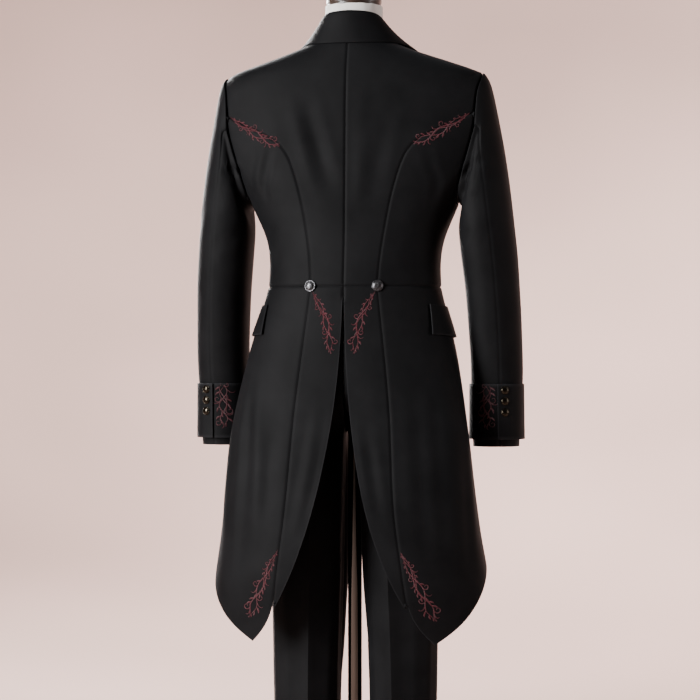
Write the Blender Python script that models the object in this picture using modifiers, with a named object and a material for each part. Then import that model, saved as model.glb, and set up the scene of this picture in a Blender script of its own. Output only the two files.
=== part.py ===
# A three-piece tuxedo (tailcoat, waistcoat and trousers) worn by a limbless dress form on a pole.
# Metres, +Z up. The origin is the middle of the base's underside, the front of the garment
# faces -Y, and the wearer's left is +X. A "turn" is an angle in degrees round the body: 0 at the
# centre back, 90 at the wearer's left side, 180 at the centre front.

import math
from bisect import bisect_right

import bmesh
import bpy
from mathutils import Matrix, Vector

SEAM_GAP = 0.0003
COAT_WALL = 0.0020
WAISTCOAT_WALL = 0.0016
TROUSER_WALL = 0.0016
SQUARENESS = 2.3           # exponent of the rings round the body: 2 is an ellipse
WAIST_HEIGHT = 1.0575
TIP_HEIGHT = 0.441         # the lowest point of the tails
LAP = 0.0028               # how far a layer is lifted where it laps over another
LAP_TURNS = (134, 172)     # the fronts rise to their lap between these turns

COAT_RINGS = {   # middle is how far behind the pole's axis the ring's widest part lies
    "columns": ("height", "half_width", "middle", "back", "front"),
    "rows": [
        (1.4900, 0.0715, 0.010, 0.0660, 0.0560),
        (1.4830, 0.0835, 0.010, 0.0685, 0.0540),
        (1.4750, 0.1020, 0.010, 0.0710, 0.0530),
        (1.4645, 0.1320, 0.010, 0.0745, 0.0530),
        (1.4460, 0.1900, 0.009, 0.0795, 0.0560),
        (1.4330, 0.2270, 0.006, 0.0825, 0.0615),
        (1.4080, 0.2430, 0.002, 0.0865, 0.0775),
        (1.3750, 0.2510, 0.000, 0.0890, 0.0940),
        (1.3450, 0.2520, 0.000, 0.0900, 0.1030),
        (1.3150, 0.2450, 0.000, 0.0910, 0.1090),
        (1.2800, 0.2320, 0.000, 0.0920, 0.1130),
        (1.2460, 0.2170, 0.000, 0.0930, 0.1150),
        (1.2050, 0.1870, 0.000, 0.0940, 0.1150),
        (1.1770, 0.1735, 0.000, 0.0950, 0.1140),
        (1.1550, 0.1620, 0.000, 0.0960, 0.1120),
        (1.1300, 0.1550, 0.000, 0.0980, 0.1090),
        (1.1000, 0.1520, 0.000, 0.1020, 0.1060),
        (1.0600, 0.1540, 0.000, 0.1080, 0.1040),
        (1.0260, 0.1620, 0.004, 0.1100, 0.1070),
        (0.9700, 0.1780, 0.016, 0.1130, 0.1120),
        (0.9300, 0.1880, 0.027, 0.1165, 0.1150),
        (0.8580, 0.2000, 0.048, 0.1250, 0.1160),
        (0.7900, 0.2115, 0.060, 0.1350, 0.1130),
        (0.7160, 0.2190, 0.058, 0.1480, 0.1100),
        (0.6300, 0.2290, 0.046, 0.1570, 0.1080),
        (0.5480, 0.2420, 0.034, 0.1570, 0.1060),
        (0.4850, 0.2480, 0.030, 0.1430, 0.1050),
        (0.4300, 0.2500, 0.028, 0.1230, 0.1050),
    ],
}
BODICE_HEIGHTS = (1.0577, 1.085, 1.112, 1.142, 1.172, 1.200, 1.214, 1.236, 1.262, 1.288, 1.312,
                  1.336, 1.358, 1.384, 1.406, 1.4215, 1.433, 1.446, 1.4645, 1.479, 1.490)
ARMPIT_HEIGHT = 1.200
SHOULDER_HEIGHT = 1.433
SIDE_SEAM_TURN = 93
SHOULDER_SEAM_TURN = 90
ARMHOLE = {
    "columns": ("height", "back_turn", "front_turn"),
    "rows": [
        (1.4330, 90.0, 90.0),
        (1.4215, 84.0, 94.5),
        (1.4060, 80.0, 99.5),
        (1.3840, 78.0, 103.0),
        (1.3580, 77.2, 105.5),
        (1.3360, 76.9, 107.0),
        (1.3120, 76.5, 108.5),
        (1.2880, 76.1, 109.5),
        (1.2620, 75.7, 109.5),
        (1.2360, 76.3, 108.0),
        (1.2140, 80.0, 104.0),
        (1.2000, 93.0, 93.0),
    ],
}
BACK_SEAM = {   # the curved seam from the back of the armhole to the waist button
    "columns": ("height", "side"),
    "rows": [
        (1.358, 0.2188),
        (1.336, 0.1745),
        (1.312, 0.1230),
        (1.288, 0.1040),
        (1.262, 0.0940),
        (1.216, 0.0810),
        (1.157, 0.0695),
        (1.100, 0.0615),
        (1.0575, 0.0590),
    ],
}
BACK_SEAM_TOP = 1.358
FRONT_EDGE = {   # the left front's free edge: it crosses the centre at the waist
    "columns": ("height", "side"),
    "rows": [
        (1.490, 0.0640),
        (1.433, 0.0620),
        (1.384, 0.0530),
        (1.262, 0.0300),
        (1.172, 0.0120),
        (1.142, 0.0020),
        (1.112, -0.0130),
        (1.085, -0.0180),
        (1.0575, -0.0120),
    ],
}
SKIRT_HEIGHTS = (1.0573, 1.035, 0.995, 0.945, 0.890, 0.830, 0.770, 0.710, 0.650, 0.595, 0.545,
                 0.505, 0.468, TIP_HEIGHT)
PLEAT_SEAM = {
    "columns": ("height", "side"),
    "rows": [
        (1.0575, 0.0590),
        (1.035, 0.0615),
        (0.938, 0.0729),
        (0.823, 0.0853),
        (0.716, 0.0915),
        (0.640, 0.0985),
        (0.587, 0.1070),
        (0.505, 0.1170),
    ],
}
PLEAT_END = 0.505
TAIL_EDGE = {   # the tail's inner edge beside the open vent
    "columns": ("height", "side"),
    "rows": [
        (1.0575, 0.0002),
        (1.035, 0.0010),
        (0.990, 0.0025),
        (0.947, 0.0045),
        (0.858, 0.0117),
        (0.787, 0.0217),
        (0.716, 0.0346),
        (0.646, 0.0524),
        (0.557, 0.0852),
        (0.505, 0.1130),
        (0.468, 0.1340),
        (0.441, 0.1600),
    ],
}
CUTAWAY = {   # the front edge of the side skirt, from the waist button back to the hem's corner
    "columns": ("height", "turn"),
    "rows": [
        (1.0575, 186.0),
        (1.038, 176.0),
        (1.000, 161.0),
        (0.940, 146.0),
        (0.870, 134.0),
        (0.790, 124.0),
        (0.710, 116.0),
        (0.640, 110.0),
        (0.590, 105.0),
    ],
}
HEM = {   # how low the side skirt hangs, from the tip of the tail (0) to the front corner (1)
    "columns": ("across", "height"),
    "rows": [
        (0.00, TIP_HEIGHT),
        (0.13, 0.474),
        (0.27, 0.510),
        (0.45, 0.542),
        (0.70, 0.570),
        (1.00, 0.610),
    ],
}
LAPEL_EDGE = {   # the lapel's outer edge, up to the peak
    "columns": ("height", "side"),
    "rows": [
        (1.142, 0.0080),
        (1.156, 0.0400),
        (1.190, 0.0650),
        (1.250, 0.0930),
        (1.320, 0.1190),
        (1.370, 0.1350),
        (1.408, 0.1440),
    ],
}
LAPEL_FOOT = 1.142
LAPEL_HEAD = 1.434
PEAK_HEIGHT = 1.408
NOTCH_DIP = 0.0300         # how far the top of the lapel dips between the gorge and the peak
LAPEL_LIFT = 0.0033
COLLAR = {   # stations from the centre back (0) to the front end (1)
    "columns": ("station", "base_turn", "base_height", "fold_x", "fold_y", "fold_height",
                "edge_turn", "edge_height", "edge_lift"),
    "rows": [
        (0.00, 0.0, 1.4905, 0.0000, 0.0650, 1.5400, 0.0, 1.4810, 0.0032),
        (0.14, 30.0, 1.4905, 0.0300, 0.0580, 1.5385, 30.0, 1.4810, 0.0032),
        (0.28, 60.0, 1.4905, 0.0480, 0.0400, 1.5350, 60.0, 1.4815, 0.0036),
        (0.42, 90.0, 1.4905, 0.0545, 0.0150, 1.5280, 88.0, 1.4810, 0.0045),
        (0.56, 110.0, 1.4910, 0.0575, -0.0080, 1.5150, 100.0, 1.4730, 0.0062),
        (0.70, 125.0, 1.4915, 0.0595, -0.0290, 1.4990, 112.0, 1.4520, 0.0062),
        (0.85, 137.0, 1.4640, 0.0615, -0.0520, 1.4750, 121.0, 1.4260, 0.0042),
        (1.00, 140.5, 1.4380, 0.0610, -0.0680, 1.4470, 129.0, 1.4010, 0.0034),
    ],
}
COLLAR_STATIONS = 10
FLAP_TURNS = (68, 122)
FLAP_TOP = 1.026
FLAP_SLANT = 0.008
FLAP_DEPTH = 0.053

SLEEVE_SECTIONS = {   # from the shoulder to the hem; egg is how far it keeps the armhole's outline
    "columns": ("outer_x", "outer_z", "inner_x", "inner_z", "middle_y", "half_depth", "egg"),
    "rows": [
        (0.2430, 1.4265, 0.1925, 1.1975, -0.005, 0.0640, 0.80),
        (0.2500, 1.4005, 0.1885, 1.1880, -0.005, 0.0665, 0.50),
        (0.2560, 1.3580, 0.1860, 1.1760, -0.006, 0.0680, 0.20),
        (0.2655, 1.3010, 0.1850, 1.1580, -0.008, 0.0685, 0.00),
        (0.2740, 1.2390, 0.1865, 1.1340, -0.010, 0.0680, 0.00),
        (0.2815, 1.1760, 0.1895, 1.1020, -0.012, 0.0660, 0.00),
        (0.2880, 1.1120, 0.1940, 1.0620, -0.017, 0.0630, 0.00),
        (0.2925, 1.0200, 0.1990, 0.9950, -0.025, 0.0580, 0.00),
        (0.2945, 0.9300, 0.2015, 0.9240, -0.036, 0.0530, 0.00),
        (0.2935, 0.8860, 0.2015, 0.8860, -0.040, 0.0515, 0.00),
        (0.2900, 0.8400, 0.2030, 0.8400, -0.042, 0.0485, 0.00),
        (0.2870, 0.7770, 0.2045, 0.7770, -0.044, 0.0460, 0.00),
    ],
}
SLEEVE_SQUARENESS = 2.15
HIND_SEAM_PLACE = 5        # places in the ring of armhole points, counted from the shoulder
FORE_SEAM_PLACE = 14
CUFF = {
    "columns": ("height", "outer_x", "inner_x", "middle_y", "half_depth"),
    "rows": [
        (0.8870, 0.2960, 0.1985, -0.0400, 0.0545),
        (0.8400, 0.2966, 0.1980, -0.0415, 0.0540),
        (0.7900, 0.2972, 0.1975, -0.0430, 0.0535),
    ],
}
CUFF_HEIGHTS = (0.8870, 0.8400, 0.7900)
CUFF_EDGE_ANGLE = 80       # the lapped edge, from the outer side (0) towards the back (90)
CUFF_UNDERLAP = 20
CUFF_SEGMENTS = 24
CUFF_BUTTON_ANGLE = 66
CUFF_BUTTON_HEIGHTS = (0.8765, 0.8572, 0.8378)

WAISTCOAT_HEIGHTS = (1.036, 1.060, 1.085, 1.130, 1.165, 1.200, 1.240, 1.300, 1.360, 1.410,
                     1.440, 1.4645, 1.478)
WAISTCOAT_DEPTH = {   # how far the waistcoat's face lies inside the coat's face
    "columns": ("height", "depth"),
    "rows": [
        (1.478, 0.0050),
        (1.440, 0.0075),
        (1.360, 0.0062),
        (1.250, 0.0045),
        (1.130, 0.0045),
        (0.985, 0.0036),
    ],
}
WAISTCOAT_ARMHOLE = {
    "columns": ("height", "back", "front"),
    "rows": [
        (1.4645, 0.1380, 0.1380),
        (1.440, 0.1520, 0.1480),
        (1.384, 0.1540, 0.1480),
        (1.312, 0.1560, 0.1500),
        (1.236, 0.1640, 0.1600),
    ],
}
WAISTCOAT_ARMPIT = 1.200
WAISTCOAT_SHOULDER = 1.4645
WAISTCOAT_LAP = 0.0021     # how far the right front lies under the left
WAISTCOAT_NECK = {   # the left front's free edge
    "columns": ("height", "side"),
    "rows": [
        (1.478, 0.0800),
        (1.440, 0.0740),
        (1.384, 0.0640),
        (1.312, 0.0480),
        (1.236, 0.0260),
        (1.172, 0.0020),
        (1.142, -0.0120),
        (1.112, -0.0140),
        (1.036, -0.0120),
    ],
}
WAISTCOAT_BUTTON_HEIGHTS = (1.164, 1.121, 1.078, 1.035)

TROUSER_RINGS = {
    "columns": ("height", "half_width", "middle", "back", "front"),
    "rows": [
        (1.048, 0.1495, 0.000, 0.1010, 0.0955),
        (1.020, 0.1540, 0.000, 0.1040, 0.0965),
        (0.985, 0.1580, 0.000, 0.1070, 0.0975),
        (0.950, 0.1615, 0.000, 0.1090, 0.0985),
        (0.910, 0.1645, 0.000, 0.1090, 0.0990),
        (0.870, 0.1665, 0.000, 0.1075, 0.0980),
    ],
}
TROUSER_LEG = {
    "columns": ("height", "inner", "outer", "back", "front"),
    "rows": [
        (0.800, 0.0145, 0.1640, 0.0930, 0.0860),
        (0.720, 0.0150, 0.1580, 0.0770, 0.0740),
        (0.620, 0.0158, 0.1540, 0.0640, 0.0670),
        (0.500, 0.0200, 0.1510, 0.0500, 0.0650),
        (0.360, 0.0258, 0.1480, 0.0420, 0.0640),
        (0.200, 0.0270, 0.1465, 0.0400, 0.0640),
        (0.036, 0.0274, 0.1455, 0.0400, 0.0640),
    ],
}
SEAT_HEIGHT = 0.870        # the hip rings end here and the legs begin to part
CROTCH_HEIGHT = 0.800
TROUSER_HEIGHTS = (1.048, 1.010, 0.965, 0.915, SEAT_HEIGHT, 0.847, 0.823, CROTCH_HEIGHT,
                   0.760, 0.690, 0.600, 0.480, 0.340, 0.190, 0.036)
TROUSER_COLUMNS = 8
CREASE_SHIFT = 14          # the pressed creases lie this many degrees towards the inside leg
CREASE_HEIGHT = 0.0045
WAISTBAND_HEIGHTS = (1.0485, 1.0670, 1.0880)   # the form has rings at these heights
WAISTBAND_WALL = 0.0016
WAISTBAND_GAP = 0.0006     # clear of the form all round

FORM_RINGS = {
    "columns": ("height", "half_width", "middle", "back", "front"),
    "rows": [
        (1.5530, 0.0505, 0.008, 0.0585, 0.0425),
        (1.5050, 0.0510, 0.008, 0.0585, 0.0430),
        (1.4900, 0.0560, 0.009, 0.0585, 0.0430),
        (1.4780, 0.0690, 0.010, 0.0600, 0.0420),
        (1.4645, 0.0995, 0.010, 0.0635, 0.0420),
        (1.4500, 0.1280, 0.009, 0.0660, 0.0435),
        (1.4300, 0.1650, 0.006, 0.0705, 0.0515),
        (1.3950, 0.1810, 0.000, 0.0775, 0.0740),
        (1.3450, 0.1830, 0.000, 0.0795, 0.0925),
        (1.3000, 0.1805, 0.000, 0.0815, 0.1010),
        (1.2500, 0.1738, 0.000, 0.0830, 0.1058),
        (1.2000, 0.1645, 0.000, 0.0845, 0.1062),
        (1.1600, 0.1530, 0.000, 0.0865, 0.1037),
        (1.1200, 0.1433, 0.000, 0.0902, 0.0990),
        (1.0880, 0.1422, 0.000, 0.0940, 0.0946),
        (1.0670, 0.1438, 0.000, 0.0972, 0.0936),
        (1.0485, 0.1450, 0.000, 0.0976, 0.0928),
        (1.0200, 0.1490, 0.000, 0.0990, 0.0925),
        (0.9700, 0.1530, 0.000, 0.0990, 0.0920),
        (0.9200, 0.1520, 0.000, 0.0975, 0.0890),
        (0.8980, 0.1440, 0.000, 0.0900, 0.0820),
        (0.8870, 0.1300, 0.000, 0.0780, 0.0700),
    ],
}
FORM_SEGMENTS = 28
NECK_TOP = 1.5530
NECK_MIDDLE = 0.008        # the neck's axis lies this far behind the pole's
CAP_RADIUS = 0.0485
CAP_HEIGHT = 0.030
TORSO_FOOT = 0.887
POLE_RADIUS = 0.0125
BASE_RADIUS = 0.190
BASE_HEIGHT = 0.014

COAT_BUTTON_RADIUS = 0.0100
COAT_BUTTON_RISE = 0.0046
COAT_BUTTON_HEIGHT = 1.085
CUFF_BUTTON_RADIUS = 0.0075
CUFF_BUTTON_RISE = 0.0040
WAISTCOAT_BUTTON_RADIUS = 0.0070
WAISTCOAT_BUTTON_RISE = 0.0024
BUTTON_SEGMENTS = 10


def spline(table, column, key="height"):
    """A smooth line through one named column of a table that never overshoots its rows."""
    places = [table["columns"].index(name) for name in (key, column)]
    knots = sorted((row[places[0]], row[places[1]]) for row in table["rows"])
    xs = [knot[0] for knot in knots]
    ys = [knot[1] for knot in knots]
    chords = [(ys[i + 1] - ys[i]) / (xs[i + 1] - xs[i]) for i in range(len(xs) - 1)]
    slopes = [chords[0]]
    for before, after in zip(chords, chords[1:]):
        slopes.append(0.0 if before * after <= 0 else 2 * before * after / (before + after))
    slopes.append(chords[-1])

    def at(x):
        x = min(max(x, xs[0]), xs[-1])
        i = min(bisect_right(xs, x) - 1, len(xs) - 2)
        span = xs[i + 1] - xs[i]
        t = (x - xs[i]) / span
        start = ys[i] * (1 + 2 * t) * (1 - t) ** 2 + span * slopes[i] * t * (1 - t) ** 2
        end = ys[i + 1] * t * t * (3 - 2 * t) + span * slopes[i + 1] * t * t * (t - 1)
        return start + end

    return at


def smooth_step(low, high, x):
    t = min(max((x - low) / (high - low), 0.0), 1.0)
    return t * t * (3 - 2 * t)


def between(first, last, across):
    return first + (last - first) * across


def squeezed(turn, ratio):
    """Where a turn goes when a ring's depth is divided by a ratio; it stays in its quarter."""
    angle = math.radians(turn)
    moved = math.degrees(math.atan2(math.sin(angle) * ratio, math.cos(angle)))
    return turn + (moved - turn + 180) % 360 - 180


class Body:
    """A smooth skin of level rings round the body, which every worn piece is cut from."""

    def __init__(self, table):
        self.half_width = spline(table, "half_width")
        self.middle = spline(table, "middle")
        self.back = spline(table, "back")
        self.front = spline(table, "front")

    def depth(self, height, faces_back):
        """The ring's reach from its own middle to the back or to the front."""
        if faces_back:
            return self.back(height) - self.middle(height)
        return self.front(height) + self.middle(height)

    def skin(self, turn, height):
        side = math.sin(math.radians(turn))
        ahead = math.cos(math.radians(turn))
        across = abs(side / self.half_width(height)) ** SQUARENESS
        along = abs(ahead / self.depth(height, ahead > 0)) ** SQUARENESS
        reach = (across + along) ** (-1 / SQUARENESS)
        return Vector((reach * side, self.middle(height) + reach * ahead, height))

    def normal(self, turn, height):
        across = self.skin(turn + 0.5, height) - self.skin(turn - 0.5, height)
        up = self.skin(turn, height + 0.0005) - self.skin(turn, height - 0.0005)
        return up.cross(across).normalized()

    def point(self, turn, height, lift):
        return self.skin(turn, height) + self.normal(turn, height) * lift

    def spread(self, first, last, height, across):
        """A turn between two others, shared out evenly on a ring that is wider than it is deep."""
        width = self.half_width(height)
        ends = [squeezed(turn, self.depth(height, math.cos(math.radians(turn)) > 0) / width)
                for turn in (first, last)]
        turn = between(*ends, across)
        return squeezed(turn, width / self.depth(height, math.cos(math.radians(turn)) > 0))

    def turn_at(self, side, height, faces_back):
        """The turn at which the ring lies this far to the wearer's left of the centre."""
        share = min(abs(side) / self.half_width(height), 1.0)
        depth = self.depth(height, faces_back) * (1 - share ** SQUARENESS) ** (1 / SQUARENESS)
        turn = math.degrees(math.atan2(side, depth if faces_back else -depth))
        return turn if turn > -90 else turn + 360

    def beside(self, edge, height, way):
        """The turn half a seam's gap to one side of an edge, which is a turn for each height."""
        spot = self.skin(edge(height), height)
        reach = math.hypot(spot.x, spot.y - self.middle(height))
        slope = math.radians(edge(height + 0.002) - edge(height - 0.002)) * reach / 0.004
        gap = 0.5 * SEAM_GAP * math.sqrt(1 + slope * slope)
        return edge(height) + way * math.degrees(gap / reach)


coat = Body(COAT_RINGS)
form = Body(FORM_RINGS)
collection = bpy.data.collections.new("three_piece_tuxedo")


def material(name, colour, roughness, metallic=0.0):
    made = bpy.data.materials.new(name)
    made.use_nodes = True
    shader = made.node_tree.nodes["Principled BSDF"]
    shader.inputs["Base Color"].default_value = (*colour, 1.0)
    shader.inputs["Roughness"].default_value = roughness
    shader.inputs["Metallic"].default_value = metallic
    made.diffuse_color = (*colour, 1.0)
    return made


def add_object(name, mesh, finish):
    """Turns a bmesh into a named object in the garment's collection."""
    data = bpy.data.meshes.new(name)
    bmesh.ops.recalc_face_normals(mesh, faces=mesh.faces)
    mesh.to_mesh(data)
    mesh.free()
    data.materials.append(finish)
    data.shade_smooth()
    data.set_sharp_from_angle(angle=math.radians(40))
    made = bpy.data.objects.new(name, data)
    collection.objects.link(made)
    return made


def wall(name, outer, inner, finish):
    """A closed wall between two grids of points. Rims are split one way, so that seams match."""
    mesh = bmesh.new()
    skins = [[[mesh.verts.new(point) for point in row] for row in grid] for grid in (outer, inner)]
    last_row = len(outer) - 1
    last_column = len(outer[0]) - 1
    for skin in skins:
        for row in range(last_row):
            for column in range(last_column):
                corners = ((row, column), (row, column + 1), (row + 1, column + 1), (row + 1, column))
                mesh.faces.new([skin[r][c] for r, c in corners])
    border = [(0, column) for column in range(last_column)]
    border += [(row, last_column) for row in range(last_row)]
    border += [(last_row, column) for column in range(last_column, 0, -1)]
    border += [(row, 0) for row in range(last_row, 0, -1)]
    for spot, next_spot in zip(border, border[1:] + border[:1]):
        (near_row, near_column), (far_row, far_column) = sorted((spot, next_spot))
        near = [skin[near_row][near_column] for skin in skins]
        far = [skin[far_row][far_column] for skin in skins]
        mesh.faces.new((near[0], far[0], far[1]))
        mesh.faces.new((near[0], far[1], near[1]))
    return add_object(name, mesh, finish)


def mirrored(point, side):
    return Vector((point.x * side, point.y, point.z))


def cut_from(body, name, place, rows, columns, thickness, finish, side=1):
    """A panel of a body's skin. place(row, across) gives its turn, height and lift."""
    outer = []
    inner = []
    for row in range(rows + 1):
        places = [place(row, column / columns) for column in range(columns + 1)]
        outer.append([mirrored(body.point(*spot), side) for spot in places])
        inner.append([mirrored(body.point(turn, height, lift - thickness), side)
                      for turn, height, lift in places])
    return wall(name, outer, inner, finish)


# The coat's seams, as a turn for each height.

back_seam_side = spline(BACK_SEAM, "side")
front_edge_side = spline(FRONT_EDGE, "side")
pleat_side = spline(PLEAT_SEAM, "side")
tail_side = spline(TAIL_EDGE, "side")
armhole_back = spline(ARMHOLE, "back_turn")
armhole_front = spline(ARMHOLE, "front_turn")
cutaway = spline(CUTAWAY, "turn")
hem = spline(HEM, "height", key="across")


def centre_back(height):
    return 0.0


def side_seam(height):
    return SIDE_SEAM_TURN


def shoulder_seam(height):
    return SHOULDER_SEAM_TURN


def back_seam(height):
    return coat.turn_at(back_seam_side(height), height, True)


def front_edge(height):
    return coat.turn_at(front_edge_side(height), height, False)


def pleat_seam(height):
    return coat.turn_at(pleat_side(height), height, True)


def tail_edge(height):
    return coat.turn_at(tail_side(height), height, True)


def lap_lift(turn, side):
    """Round the centre front the coat clears the waistcoat's buttons, the left over the right."""
    return LAP * (2 if side > 0 else 1) * smooth_step(*LAP_TURNS, turn)


def coat_back(side, finish):
    def outer_edge(height):
        if height < BACK_SEAM_TOP + 0.001:
            return coat.beside(back_seam, height, -1)
        if height < SHOULDER_HEIGHT - 0.001:
            return armhole_back(height)
        return coat.beside(shoulder_seam, height, -1)

    def place(row, across):
        height = BODICE_HEIGHTS[row]
        first = coat.beside(centre_back, height, 1)
        return coat.spread(first, outer_edge(height), height, across), height, 0.0

    return cut_from(coat, "coat_back" + suffix(side), place, len(BODICE_HEIGHTS) - 1, 6,
                    COAT_WALL, finish, side)


def coat_side_back(side, finish):
    heights = [height for height in BODICE_HEIGHTS if height < BACK_SEAM_TOP + 0.001]

    def outer_edge(height):
        if height < ARMPIT_HEIGHT + 0.001:
            return coat.beside(side_seam, height, -1)
        return armhole_back(height)

    def place(row, across):
        height = heights[row]
        first = coat.beside(back_seam, height, 1)
        return coat.spread(first, outer_edge(height), height, across), height, 0.0

    return cut_from(coat, "coat_side_back" + suffix(side), place, len(heights) - 1, 5,
                    COAT_WALL, finish, side)


def coat_front(side, finish):
    def back_edge(height):
        if height < ARMPIT_HEIGHT + 0.001:
            return coat.beside(side_seam, height, 1)
        if height < SHOULDER_HEIGHT - 0.001:
            return armhole_front(height)
        return coat.beside(shoulder_seam, height, 1)

    def place(row, across):
        height = BODICE_HEIGHTS[row]
        turn = coat.spread(back_edge(height), front_edge(height), height, across)
        return turn, height, lap_lift(turn, side)

    return cut_from(coat, "coat_front" + suffix(side), place, len(BODICE_HEIGHTS) - 1, 9,
                    COAT_WALL, finish, side)


def coat_skirt_back(side, finish):
    heights = [height for height in SKIRT_HEIGHTS if height > PLEAT_END - 0.001]

    def place(row, across):
        height = heights[row]
        first = coat.beside(tail_edge, height, 1)
        last = coat.beside(pleat_seam, height, -1)
        return coat.spread(first, last, height, across), height, 0.0

    return cut_from(coat, "coat_skirt_back" + suffix(side), place, len(heights) - 1, 3,
                    COAT_WALL, finish, side)


def coat_skirt_side(side, finish):
    top = SKIRT_HEIGHTS[0]

    def place(row, across):
        share = (top - SKIRT_HEIGHTS[row]) / (top - TIP_HEIGHT)
        height = top - share * (top - hem(across))
        near = SKIRT_HEIGHTS[row]
        if near > PLEAT_END - 0.001:
            first = coat.beside(pleat_seam, near, 1)
        else:
            first = coat.beside(tail_edge, near, 1)
        last = cutaway(top - share * (top - hem(1.0)))
        turn = coat.spread(first, last, near, across)
        return turn, height, lap_lift(turn, side)

    return cut_from(coat, "coat_skirt_side" + suffix(side), place, len(SKIRT_HEIGHTS) - 1, 13,
                    COAT_WALL, finish, side)


def lapel(side, finish):
    rows = 10
    outer_side = spline(LAPEL_EDGE, "side")

    def place(row, across):
        along = row / rows
        roll_height = between(LAPEL_FOOT, LAPEL_HEAD, along)
        edge_height = between(LAPEL_FOOT, PEAK_HEIGHT, along)
        dip = NOTCH_DIP * 4 * across * (1 - across) * along ** 4
        height = between(roll_height, edge_height, across) - dip
        x = between(front_edge_side(roll_height) - 0.0015, outer_side(edge_height), across)
        turn = coat.turn_at(x, height, False)
        return turn, height, lap_lift(turn, side) + LAPEL_LIFT

    return cut_from(coat, "lapel" + suffix(side), place, rows, 6, COAT_WALL, finish, side)


def collar(finish):
    """One wall: up the stand from the neckline, over the fold and down the fall."""
    columns = {name: spline(COLLAR, name, key="station") for name in COLLAR["columns"][1:]}
    visible = []
    hidden = []
    for step in range(-COLLAR_STATIONS, COLLAR_STATIONS + 1):
        side = -1 if step < 0 else 1
        values = {name: column(abs(step) / COLLAR_STATIONS) for name, column in columns.items()}
        fold = Vector((values["fold_x"], values["fold_y"], values["fold_height"]))
        away = Vector((fold.x, fold.y, 0)).normalized()
        down = Vector((0, 0, -1))
        base_in = coat.point(values["base_turn"], values["base_height"], -COAT_WALL)
        base_out = coat.point(values["base_turn"], values["base_height"], 0.0)
        edge = (values["edge_turn"], values["edge_height"])
        edge_out = coat.point(*edge, values["edge_lift"])
        edge_in = coat.point(*edge, values["edge_lift"] - COAT_WALL)
        neck_side = fold - away * 0.0030 + down * 0.0035
        neck_under = fold - away * 0.0010 + down * 0.0040
        fall_side = fold + away * 0.0030 + down * 0.0030
        fall_under = fold + away * 0.0010 + down * 0.0036
        outer = [base_in, base_in.lerp(neck_side, 0.55), neck_side, fold, fall_side,
                 fall_side.lerp(edge_out, 0.36), fall_side.lerp(edge_out, 0.70), edge_out]
        inner = [base_out, base_out.lerp(neck_under, 0.55), neck_under, fold + down * 0.0022,
                 fall_under, fall_under.lerp(edge_in, 0.36), fall_under.lerp(edge_in, 0.70), edge_in]
        visible.append([mirrored(point, side) for point in outer])
        hidden.append([mirrored(point, side) for point in inner])
    return wall("collar", visible, hidden, finish)


def pocket_flap(side, finish):
    def place(row, across):
        height = FLAP_TOP - FLAP_SLANT * across - FLAP_DEPTH * row / 3
        return between(*FLAP_TURNS, across), height, 0.0030 + 0.0007 * row

    return cut_from(coat, "pocket_flap" + suffix(side), place, 3, 7, COAT_WALL, finish, side)


def suffix(side):
    return "_left" if side > 0 else "_right"


# Sleeves and cuffs.

def armhole_ring():
    """The armhole's edge from the shoulder down its back and up its front, with normals."""
    heights = [row[0] for row in ARMHOLE["rows"]]
    spots = [(armhole_back(height), height) for height in heights]
    spots += [(armhole_front(height), height) for height in reversed(heights[1:-1])]
    return [(coat.skin(*spot), coat.normal(*spot)) for spot in spots]


def sleeve_grid():
    """Rows of the left sleeve's outer points, each a closed ring, from the armhole to the hem."""
    ring = armhole_ring()
    centre = sum((point for point, normal in ring), Vector()) / len(ring)
    head = []
    for point, normal in ring:
        inwards = centre - point
        inwards = (inwards - normal * inwards.dot(normal)).normalized()
        seam = point + inwards * (SEAM_GAP + 0.0001)
        head.append((seam - normal * COAT_WALL, seam + normal * 0.0008,
                     point - inwards * 0.0008 + normal * 0.0038))
    grid = [[spots[row] for spots in head] for row in range(3)]
    angles = [math.atan2(point.y - centre.y, point.z - centre.z) for point, normal in ring]
    for outer_x, outer_z, inner_x, inner_z, middle_y, half_depth, egg in SLEEVE_SECTIONS["rows"]:
        outer = Vector((outer_x, middle_y, outer_z))
        inner = Vector((inner_x, middle_y, inner_z))
        middle = (outer + inner) / 2
        section = []
        for angle, (point, normal) in zip(angles, ring):
            lean = abs(math.cos(angle)) ** SLEEVE_SQUARENESS + abs(math.sin(angle)) ** SLEEVE_SQUARENESS
            reach = lean ** (-1 / SLEEVE_SQUARENESS)
            oval = middle + (outer - inner) / 2 * math.cos(angle) * reach
            oval.y += half_depth * math.sin(angle) * reach
            section.append(oval.lerp(point + middle - centre, egg))
        grid.append(section)
    return grid


def ring_normals(grid):
    """Outward normals of a tube whose rows are closed rings."""
    normals = []
    for row, ring in enumerate(grid):
        above = grid[max(row - 1, 0)]
        below = grid[min(row + 1, len(grid) - 1)]
        count = len(ring)
        normals.append([(below[i] - above[i]).cross(ring[(i + 1) % count] - ring[i - 1]).normalized()
                        for i in range(count)])
    return normals


def sleeve_panel(name, grid, normals, first, last, side, finish):
    """The part of the sleeve between two seams, which are places in its rings."""
    count = len(grid[0])
    outer = []
    inner = []
    for ring, directions in zip(grid, normals):
        points = []
        backs = []
        for place in range(first, last + 1):
            way = (place == first) - (place == last)
            along = (ring[(place + 1) % count] - ring[(place - 1) % count]).normalized()
            point = ring[place % count] + along * way * SEAM_GAP / 2
            points.append(mirrored(point, side))
            backs.append(mirrored(point - directions[place % count] * COAT_WALL, side))
        outer.append(points)
        inner.append(backs)
    return wall(name, outer, inner, finish)


cuff_size = {name: spline(CUFF, name) for name in CUFF["columns"][1:]}


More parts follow.
